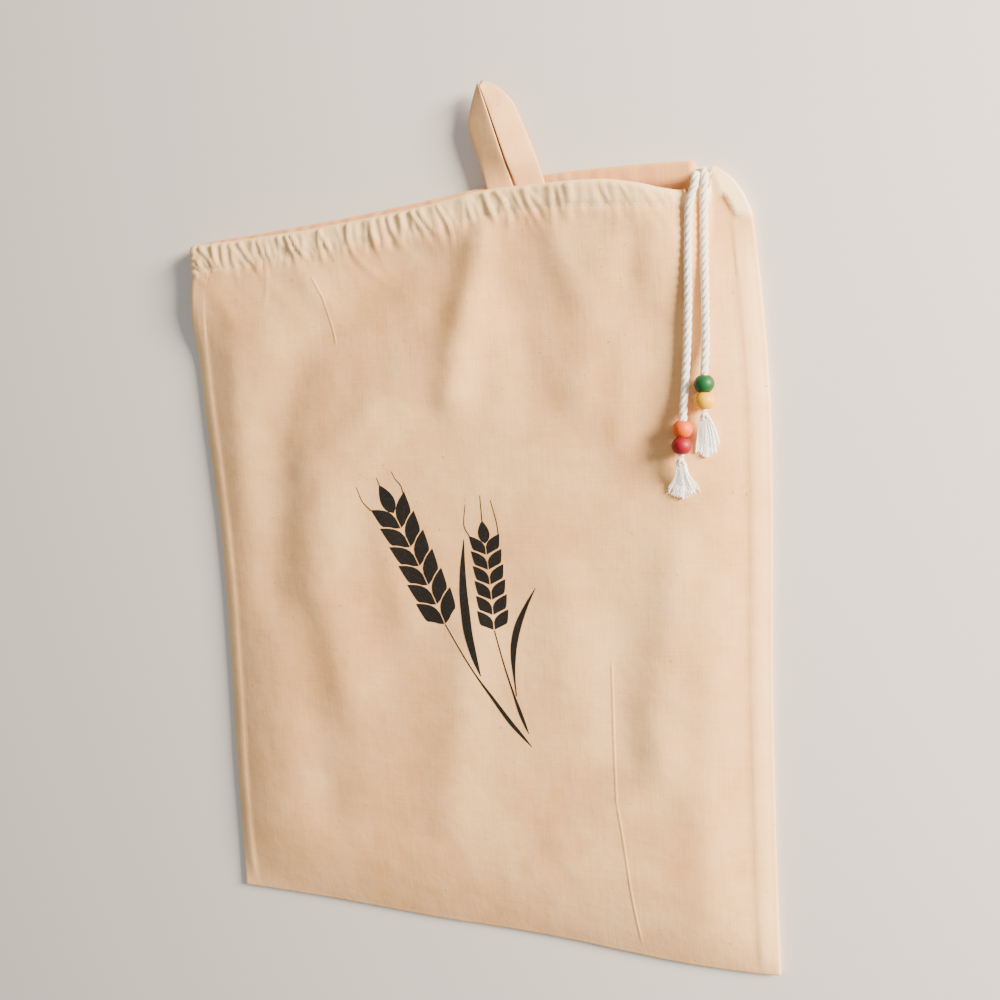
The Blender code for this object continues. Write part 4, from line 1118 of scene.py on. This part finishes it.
# %% Laid cord
def cord_tree():
    """A three-lobed outline swept along a line and turned on its way."""
    tree, given = start_tree("laid_cord", ["Step", "Lead", "Groove"])
    curve = add_node(tree, "GeometryNodeMeshToCurve", {0: given["Start"]}).outputs[0]
    curve = add_node(tree, "GeometryNodeResampleCurve", {"Curve": curve, "Length": given["Step"]},
                     mode="LENGTH").outputs[0]
    walked = add_node(tree, "GeometryNodeSplineParameter").outputs["Length"]
    turn = add_math(tree, "MULTIPLY", add_math(tree, "DIVIDE", walked, given["Lead"]), 2 * math.pi)
    curve = add_node(tree, "GeometryNodeSetCurveTilt", {"Curve": curve, "Tilt": turn}).outputs[0]
    curve = add_node(tree, "GeometryNodeStoreNamedAttribute", {"Geometry": curve, "Name": "along",
                                                               "Value": walked}).outputs[0]
    outline = add_node(tree, "GeometryNodeCurvePrimitiveCircle", {"Resolution": 24, "Radius": 1.0}).outputs[0]
    place = add_node(tree, "GeometryNodeInputPosition").outputs[0]
    axes = add_node(tree, "ShaderNodeSeparateXYZ", {0: place}).outputs
    angle = add_math(tree, "ARCTAN2", axes[1], axes[0])
    lobe = add_math(tree, "ABSOLUTE", add_math(tree, "COSINE", add_math(tree, "MULTIPLY", angle, 1.5)))
    lobe = add_math(tree, "POWER", lobe, 0.8)
    for label, value in (("around", angle), ("lobe", lobe)):
        outline = add_node(tree, "GeometryNodeStoreNamedAttribute", {"Geometry": outline, "Name": label,
                                                                     "Value": value}).outputs[0]
    kept = add_node(tree, "GeometryNodeInputNamedAttribute", {"Name": "lobe"}, data_type="FLOAT").outputs[0]
    size = add_math(tree, "ADD", add_math(tree, "SUBTRACT", 1.0, given["Groove"]),
                    add_math(tree, "MULTIPLY", given["Groove"], kept))
    scaled = add_node(tree, "ShaderNodeVectorMath", {0: place, "Scale": size}, operation="SCALE").outputs[0]
    outline = add_node(tree, "GeometryNodeSetPosition", {"Geometry": outline, "Position": scaled}).outputs[0]
    radius = add_node(tree, "GeometryNodeInputNamedAttribute", {"Name": "radius_here"},
                      data_type="FLOAT").outputs[0]
    swept = add_node(tree, "GeometryNodeCurveToMesh", {"Curve": curve, "Profile Curve": outline,
                                                       "Scale": radius, "Fill Caps": True}).outputs[0]
    end_tree(tree, given, swept)
    return tree


cord_maker = cord_tree()
CORD_R = 2.0 * MM
# Free ends from inside the hem, over its edge and down the front, as x, y, z in mm
LEFT_CORD = [(126.3, 179.7, 13.0), (129.2, 179.6, 11.8), (131.8, 180.0, 10.5), (133.8, 181.0, 9.3),
             (135.4, 182.2, 8.1), (136.5, 184.8, 6.9), (137.2, 188.0, 6.8), (137.8, 190.2, 8.8),
             (138.0, 190.6, 11.6), (138.2, 188.8, 14.2), (137.6, 184.8, 15.0), (135.3, 178.3, 15.1),
             (134.4, 171.5, 14.7), (133.9, 164.6, 14.2), (133.2, 150.9, 14.2), (132.8, 137.1, 14.4),
             (132.1, 123.4, 14.7), (131.1, 109.6, 14.8), (129.9, 95.9, 15.3), (129.3, 89.1, 16.1),
             (128.8, 82.3, 17.4), (128.3, 75.5, 18.0), (127.7, 68.7, 18.2), (127.1, 61.8, 18.1)]
RIGHT_CORD = [(135.6, 193.5, 2.8), (138.6, 193.8, 3.2), (140.0, 193.6, 5.2), (141.1, 192.2, 8.2),
              (141.8, 190.2, 10.0), (141.9, 188.0, 10.9), (141.7, 186.2, 10.8), (141.1, 179.5, 10.6),
              (140.8, 172.8, 10.5), (140.6, 166.1, 10.6), (140.5, 159.4, 10.7), (140.4, 152.7, 11.2),
              (140.3, 139.2, 12.5), (140.1, 125.8, 13.3), (140.0, 119.1, 13.6), (139.8, 112.4, 14.3),
              (139.4, 105.8, 15.4), (139.0, 99.2, 16.5), (138.8, 92.5, 16.9), (138.7, 85.8, 16.9),
              (138.6, 82.4, 16.8)]


def casing_route():
    """Middle of the drawstring in its tunnel, from the front end round to the back end."""
    low = casing_side(CORD_DEPTH, -1)
    front = [front_at(mix(low, 0.1245, k / 50), CORD_DEPTH, False) for k in range(50, -1, -1)]
    back = [back_at(mix(low, 0.1335, k / 50), CORD_DEPTH) for k in range(51)]
    route = [point - Vector((0, 0, TUNNEL / 2)) for point in front]
    route += [point + inward * (TUNNEL / 2) for point, inward in casing_arc(front[-1], back[0], -1)]
    return route + [point + Vector((0, 0, TUNNEL / 2)) for point in back]


def lay_cord(name, route, radius_at):
    """A cord along a route, with its radius given by a function of the distance walked."""
    places = smooth_line(route, 1.0 * MM)
    radii = [radius_at(i * MM) for i in range(len(places))]
    piece = grow(name, line_mesh(name + "_line", [places], radius_here=radii), cord_maker,
                 {"Step": 0.8 * MM, "Lead": 11.8 * MM, "Groove": 0.32, "Finish": cord_cotton})
    length = sum((b - a).length for a, b in zip(places, places[1:]))
    print(name, round(length / MM), "mm long")
    return piece, places, length


hidden_cord, hidden_places, hidden_length = lay_cord("cord_in_hem", casing_route(),
                                                     lambda walked: HIDDEN_CORD_R)
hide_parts("drawstring_in_casing")
left_cord, left_places, left_length = lay_cord(
    "cord_left_end", [Vector(p) * MM for p in LEFT_CORD],
    lambda walked: mix(HIDDEN_CORD_R, CORD_R, ease((walked - 10 * MM) / (12 * MM))))
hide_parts("cord_tail_left")
right_cord, right_places, right_length = lay_cord(
    "cord_right_end", [Vector(p) * MM for p in RIGHT_CORD],
    lambda walked: mix(HIDDEN_CORD_R, CORD_R, ease(walked / (9 * MM))))
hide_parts("cord_tail_right")
for piece, slot in ((hidden_cord, "cotton_cord"), (left_cord, "cotton_tail"), (right_cord, "cotton_tail")):
    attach(piece, "root")


# %% [markdown]
# ## Wooden beads
# Turned from wood, dipped in thin bright paint and satin to the touch. The outline is a slightly
# flattened round with a soft lip at the bore, spun round the cord's line. The grain telegraphs
# through the paint as faint lines along the bore.


# %% Bead paint and turned beads
def make_bead_paint(name, hex_colour, along):
    material = bpy.data.materials.new(name)
    material.use_nodes = True
    tree = material.node_tree
    shader = tree.nodes["Principled BSDF"]
    place = add_node(tree, "ShaderNodeTexCoord").outputs["Object"]
    lengthwise = add_node(tree, "ShaderNodeMapping",
                          {"Vector": place, "Scale": (1 / (0.7 * MM), 1 / (6 * MM), 1 / (0.7 * MM))})
    grain = add_node(tree, "ShaderNodeTexNoise", {"Vector": lengthwise.outputs[0], "Scale": 1.0, "Detail": 3.0})
    wear = add_node(tree, "ShaderNodeTexNoise", {"Vector": place, "Scale": 1 / (3 * MM), "Detail": 2.0})
    dark = [c * 0.66 for c in linear(hex_colour)[:3]] + [1.0]
    colour = add_node(tree, "ShaderNodeMix", {"Factor": grain.outputs[0], "A": dark, "B": linear(hex_colour)},
                      data_type="RGBA")
    tree.links.new(colour.outputs["Result"], shader.inputs["Base Color"])
    rough = add_node(tree, "ShaderNodeMapRange", {"Value": wear.outputs[0], "To Min": 0.36, "To Max": 0.58})
    tree.links.new(rough.outputs[0], shader.inputs["Roughness"])
    bump = add_node(tree, "ShaderNodeBump", {"Height": grain.outputs[0], "Distance": 0.12 * MM, "Strength": 0.5})
    tree.links.new(bump.outputs[0], shader.inputs["Normal"])
    shader.inputs["Specular IOR Level"].default_value = 0.35
    return material


BEAD_R = 4.75 * MM
BEAD_HALF = 3.85 * MM
BORE_R = 2.45 * MM
BEADS = {
    # node: paint, centre in mm, direction of the bore
    "bead_orange": ("#E65C00", (128.23, 74.4, 18.05), (0.080, 0.996, -0.030)),
    "bead_red": ("#94001C", (127.52, 66.65, 18.14), (0.092, 0.996, 0.005)),
    "bead_green": ("#0F5A2C", (138.81, 94.75, 16.80), (0.028, 0.998, -0.040)),
    "bead_yellow": ("#F4B800", (138.69, 87.0, 16.86), (0.019, 1.0, 0.006)),
}


def turn_bead(name, paint, centre, along):
    start = math.asin(BORE_R / BEAD_R)
    stretch = BEAD_HALF / math.cos(start)
    profile = []
    for k in range(19):
        turn = mix(start, math.pi - start, k / 18)
        profile.append((BEAD_R * math.sin(turn), stretch * math.cos(turn)))
    bore = [(BORE_R - 0.05 * MM, z) for z in (-profile[0][1] * 0.9, 0.0, profile[0][1] * 0.9)]
    mesh = bmesh.new()
    ring = [mesh.verts.new((radius, 0, z)) for radius, z in profile + bore]
    edges = [mesh.edges.new((a, b)) for a, b in zip(ring, ring[1:] + ring[:1])]
    bmesh.ops.spin(mesh, geom=ring + edges, cent=(0, 0, 0), axis=(0, 0, 1), dvec=(0, 0, 0),
                   angle=2 * math.pi, steps=40, use_merge=True)
    bmesh.ops.remove_doubles(mesh, verts=mesh.verts, dist=0.001 * MM)
    bmesh.ops.recalc_face_normals(mesh, faces=mesh.faces)
    turn = Vector((0, 0, 1)).rotation_difference(Vector(along)).to_matrix().to_4x4()
    bmesh.ops.transform(mesh, matrix=Matrix.Translation(Vector(centre) * MM) @ turn, verts=mesh.verts)
    data = bpy.data.meshes.new("turned_" + name)
    mesh.to_mesh(data)
    mesh.free()
    data.shade_smooth()
    data.materials.append(make_bead_paint(name + "_satin_paint", paint, along))
    piece = bpy.data.objects.new("turned_" + name, data)
    scene.collection.objects.link(piece)
    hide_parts(name)
    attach(piece, "root")
    print(piece.name, len(data.polygons), "faces")
    return piece


turned = {name: turn_bead(name, *row) for name, row in BEADS.items()}

# %% [markdown]
# ## Knots and frayed ends
# Below its beads each cord is knotted once and combed out into a little brush. The knot is the
# same cord, thinner and pulled tight, on the route of a real overhand knot. The brush is over two
# hundred soft locks that leave the knot together, spread, and lie down on the cloth.


# %% Fibres of the frayed ends
def fray_tree():
    """Thin tapering locks along lines, with a curl that grows towards their tips."""
    tree, given = start_tree("frayed_locks", ["Step", "Root radius", "Tip radius", "Curl"])
    curve = add_node(tree, "GeometryNodeMeshToCurve", {0: given["Start"]}).outputs[0]
    curve = add_node(tree, "GeometryNodeResampleCurve", {"Curve": curve, "Length": given["Step"]},
                     mode="LENGTH").outputs[0]
    share = add_node(tree, "GeometryNodeSplineParameter").outputs["Factor"]
    wave = add_node(tree, "ShaderNodeTexNoise", {"Scale": 1 / (2.6 * MM), "Detail": 1.0}).outputs["Color"]
    swing = add_node(tree, "ShaderNodeVectorMath", {0: wave, 1: (0.5, 0.5, 0.42)}, operation="SUBTRACT").outputs[0]
    amount = add_math(tree, "MULTIPLY", add_math(tree, "MULTIPLY", share, share), given["Curl"])
    offset = add_node(tree, "ShaderNodeVectorMath", {0: swing, "Scale": amount}, operation="SCALE").outputs[0]
    curve = add_node(tree, "GeometryNodeSetPosition", {"Geometry": curve, "Offset": offset}).outputs[0]
    radius = add_math(tree, "ADD", given["Root radius"], add_math(
        tree, "MULTIPLY", share, add_math(tree, "SUBTRACT", given["Tip radius"], given["Root radius"])))
    outline = add_node(tree, "GeometryNodeCurvePrimitiveCircle", {"Resolution": 4, "Radius": 1.0}).outputs[0]
    locks = add_node(tree, "GeometryNodeCurveToMesh", {"Curve": curve, "Profile Curve": outline,
                                                       "Scale": radius, "Fill Caps": True}).outputs[0]
    end_tree(tree, given, locks)
    return tree


fray_maker = fray_tree()
# The frayed locks get a painted glow, an emission that makes them whiter.
glowing_frayed_cotton = make_thread("combed_cotton_painted_glow", "#FFFAF2", 0.9, 0.58)
FRAYS = {
    # side: length, half width and sideways lean in mm, how soon it spreads, number of locks, seed
    "left": {"length": 17.0, "half": 6.4, "lean": -0.3, "flare": 1.5, "locks": 230, "seed": 3},
    "right": {"length": 18.5, "half": 4.6, "lean": 0.4, "flare": 0.8, "locks": 230, "seed": 8},
}
STRAY_LOCKS = 4


def knot_route(centre, ahead, side, up, size):
    """The closed line of an overhand knot, pulled tight."""
    points = []
    for k in range(72):
        t = 2 * math.pi * k / 72
        across = (math.sin(t) + 2 * math.sin(2 * t)) / 3
        along = (math.cos(t) - 2 * math.cos(2 * t)) / 3
        points.append(centre + side * (across * size[0]) + ahead * (along * size[1])
                      + up * (-math.sin(3 * t) * size[2]))
    return points + points[:1]


def lock_line(rand, neck, ahead, side, up, spec, stray):
    """One lock's line: out of the knot, spread sideways, and down onto the cloth."""
    spread = max(-1.0, min(1.0, rand.gauss(0, 0.5)))
    if stray:
        spread = rand.uniform(-1.35, -1.05)
    height = rand.uniform(-1, 1)
    length = spec["length"] * MM * rand.uniform(0.76, 1.0) * (1 - 0.12 * abs(spread))
    points = []
    for k in range(7):
        t = k / 6
        fan = spread * spec["half"] * MM * t ** spec["flare"] + spec["lean"] * MM * t * t
        root = spread * 1.7 * MM * (1 - t)
        place = neck + ahead * (length * t) + side * (root + fan) + up * (height * 1.1 * MM * (1 - 0.6 * t))
        drop = 0.5 * (1 - math.cos(math.pi * min(1.0, t * 1.1)))
        floor = on_cloth(place.x, place.y).z
        place.z = mix(place.z, floor + (0.35 + 0.9 * (height + 1) * (1 - 0.5 * t)) * MM, drop)
        place.z = max(place.z, floor + 0.3 * MM)
        points.append(place)
    return points


for side_name, places in (("left", left_places), ("right", right_places)):
    spec = FRAYS[side_name]
    ahead = (places[-1] - places[-6]).normalized()
    side = ahead.cross(Vector((0, 0, 1))).normalized()
    up = side.cross(ahead)
    centre = places[-1] + ahead * 2.9 * MM
    knot_line = knot_route(centre, ahead, side, up, (1.5 * MM, 1.35 * MM, 0.8 * MM))
    knot = grow("knot_" + side_name, line_mesh("knot_line", [knot_line], radius_here=[1.15 * MM] * len(knot_line)),
                cord_maker, {"Step": 0.5 * MM, "Lead": 9 * MM, "Groove": 0.2, "Finish": cord_cotton})
    rand = random.Random(spec["seed"])
    locks = [lock_line(rand, centre + ahead * 0.6 * MM, ahead, side, up, spec, n < STRAY_LOCKS)
             for n in range(spec["locks"])]
    brush = grow("brush_" + side_name, line_mesh("lock_lines", locks), fray_maker,
                 {"Step": 1.4 * MM, "Root radius": 0.38 * MM, "Tip radius": 0.18 * MM, "Curl": 2.6 * MM,
                  "Finish": glowing_frayed_cotton})
    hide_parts("tassel_" + side_name)
    for piece in (knot, brush):
        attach(piece, "root")
print("knots and brushes made")

print("free ends", round(left_length / MM), "and", round(right_length / MM), "mm")

# %% [markdown]
# ## The hanging tape
# A strip of the same linen is folded lengthwise to about 16 mm and then to a point, so that its
# two halves lie side by side like a roof, and both ends are sewn behind the hem. Each half is a
# closed ring of vertices swept between an outer edge and the slit, so its edges are rounded like
# folded cloth. A third piece is the fold that lies behind both at the point.

# %% Outline of the tape
TAPE_Z = 8.6 * MM
TAPE_MOUTH_Z = 7.1 * MM
TAPE_HALF = 0.75 * MM
TAPE_TILT = 2.3 * MM
BACK_FOLD_Z = 6.9 * MM
SLIT_LINE = [(50.4, 189.0), (47.7, 201.0), (42.9, 218.4), (37.6, 236.4), (32.9, 251.0)]
LEFT_OUTER = [(33.4, 189.0), (32.4, 202.4), (29.3, 214.2), (26.0, 225.4), (24.3, 234.0), (25.2, 239.0),
              (27.8, 246.0), (31.3, 253.8)]
RIGHT_OUTER = [(66.4, 189.0), (63.4, 200.5), (60.9, 209.1), (57.6, 219.2), (53.3, 231.1), (49.7, 240.4),
               (44.2, 247.6), (38.6, 252.0), (33.7, 254.2)]
BACK_FOLD_LEFT = [(44.6, 191.0), (42.0, 202.0), (36.0, 220.0), (28.0, 237.0), (31.0, 251.0)]
BACK_FOLD_RIGHT = [(56.4, 191.0), (53.6, 202.0), (49.4, 220.0), (46.6, 240.0), (34.0, 251.6)]


def edge_points(table, count):
    """A given number of places on the smooth curve through an edge's corners."""
    line = smooth_line([Vector((x * MM, y * MM, 0)) for x, y in table], 0.2 * MM)
    return [line[round(i * (len(line) - 1) / (count - 1))] for i in range(count)]


def power(value, exponent):
    return math.copysign(abs(value) ** exponent, value)


def sweep_strap(mesh, outer, inner, heights, tilts):
    """A strap with rounded edges between two edge lines, closed at both ends."""
    around = 26
    rows = []
    for a, b, height, tilt in zip(outer, inner, heights, tilts):
        row = []
        for k in range(around):
            turn = 2 * math.pi * k / around
            across = 0.5 - 0.5 * power(math.cos(turn), 0.55)
            lift = TAPE_HALF * power(math.sin(turn), 0.5)
            place = a.lerp(b, across)
            wave = 0.18 * MM * noise.noise(place * 60)
            row.append(mesh.verts.new(place + Vector((0, 0, height + tilt * (across - 0.5) * 2 + lift + wave))))
        rows.append(row)
    for upper, lower in zip(rows, rows[1:]):
        add_strip(mesh, upper, lower, closed=True)
    mesh.faces.new(rows[0])
    mesh.faces.new(rows[-1][::-1])


def tape_surface():
    mesh = bmesh.new()
    count = 44
    for outer_table, shift in ((LEFT_OUTER, -0.5), (RIGHT_OUTER, 0.5)):
        outer = edge_points(outer_table, count)
        inner = [place + Vector((shift * MM * (1.5 - 1.2 * i / count), 0, 0))
                 for i, place in enumerate(edge_points(SLIT_LINE, count))]
        spread = [ease((place.y - 0.200) / 0.020) for place in outer]
        heights = [mix(TAPE_MOUTH_Z, TAPE_Z, share) for share in spread]
        tilts = [TAPE_TILT * mix(0.2, 1.0, share) * (1 - 0.5 * ease((place.y - 0.238) / 0.014))
                 for share, place in zip(spread, outer)]
        sweep_strap(mesh, outer, inner, heights, tilts)
    outer = edge_points(BACK_FOLD_LEFT, count)
    inner = edge_points(BACK_FOLD_RIGHT, count)
    heights = [mix(TAPE_MOUTH_Z - 0.9 * MM, BACK_FOLD_Z, ease((place.y - 0.200) / 0.020)) for place in outer]
    sweep_strap(mesh, outer, inner, heights, [0.0] * count)
    bmesh.ops.recalc_face_normals(mesh, faces=mesh.faces)
    return mesh


tape_mesh = bpy.data.meshes.new("tape_of_linen")
surface = tape_surface()
surface.to_mesh(tape_mesh)
surface.free()
tape_mesh.shade_smooth()
tape_mesh.materials.append(tape_linen)
tape = bpy.data.objects.new("tape_of_linen", tape_mesh)
scene.collection.objects.link(tape)
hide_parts("hanging_tape")
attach(tape, "root")
print("tape", len(tape_mesh.polygons), "faces")

# %% [markdown]
# ## Floor and light
# A plain pale floor and soft studio light: one large lamp from the right and a little above, low
# enough to draw the folds, and an even grey surround that fills the shadows.


# %% Floor
def make_floor_paint():
    material = bpy.data.materials.new("pale_matt_floor")
    material.use_nodes = True
    shader = material.node_tree.nodes["Principled BSDF"]
    shader.inputs["Base Color"].default_value = linear("#DAD7D2")
    shader.inputs["Roughness"].default_value = 0.9
    return material


floor_mesh = bpy.data.meshes.new("floor")
floor_mesh.from_pydata([(-2, -2, 0), (2, -2, 0), (2, 2, 0), (-2, 2, 0)], [], [(0, 1, 2, 3)])
floor_mesh.materials.append(make_floor_paint())
floor = bpy.data.objects.new("floor", floor_mesh)
scene.collection.objects.link(floor)
print("floor at z = 0")


# %% Lamps and surround
def add_lamp(name, place, aim, size, power, hex_colour):
    lamp = bpy.data.lights.new(name, "AREA")
    lamp.size = size
    lamp.energy = power
    lamp.color = linear(hex_colour)[:3]
    holder = bpy.data.objects.new(name, lamp)
    scene.collection.objects.link(holder)
    holder.location = place
    holder.rotation_euler = (Vector(place) - Vector(aim)).to_track_quat("Z", "Y").to_euler()


add_lamp("window_light", (1.36, 0.46, 0.54), (0, 0.02, 0), 0.50, 122, "#FFEEDA")
surround = bpy.data.worlds.new("grey_surround")
scene.world = surround
surround.use_nodes = True
surround.node_tree.nodes["Background"].inputs[0].default_value = (0.90, 0.87, 0.84, 1.0)
surround.node_tree.nodes["Background"].inputs[1].default_value = 0.56
print("one lamp and a surround")
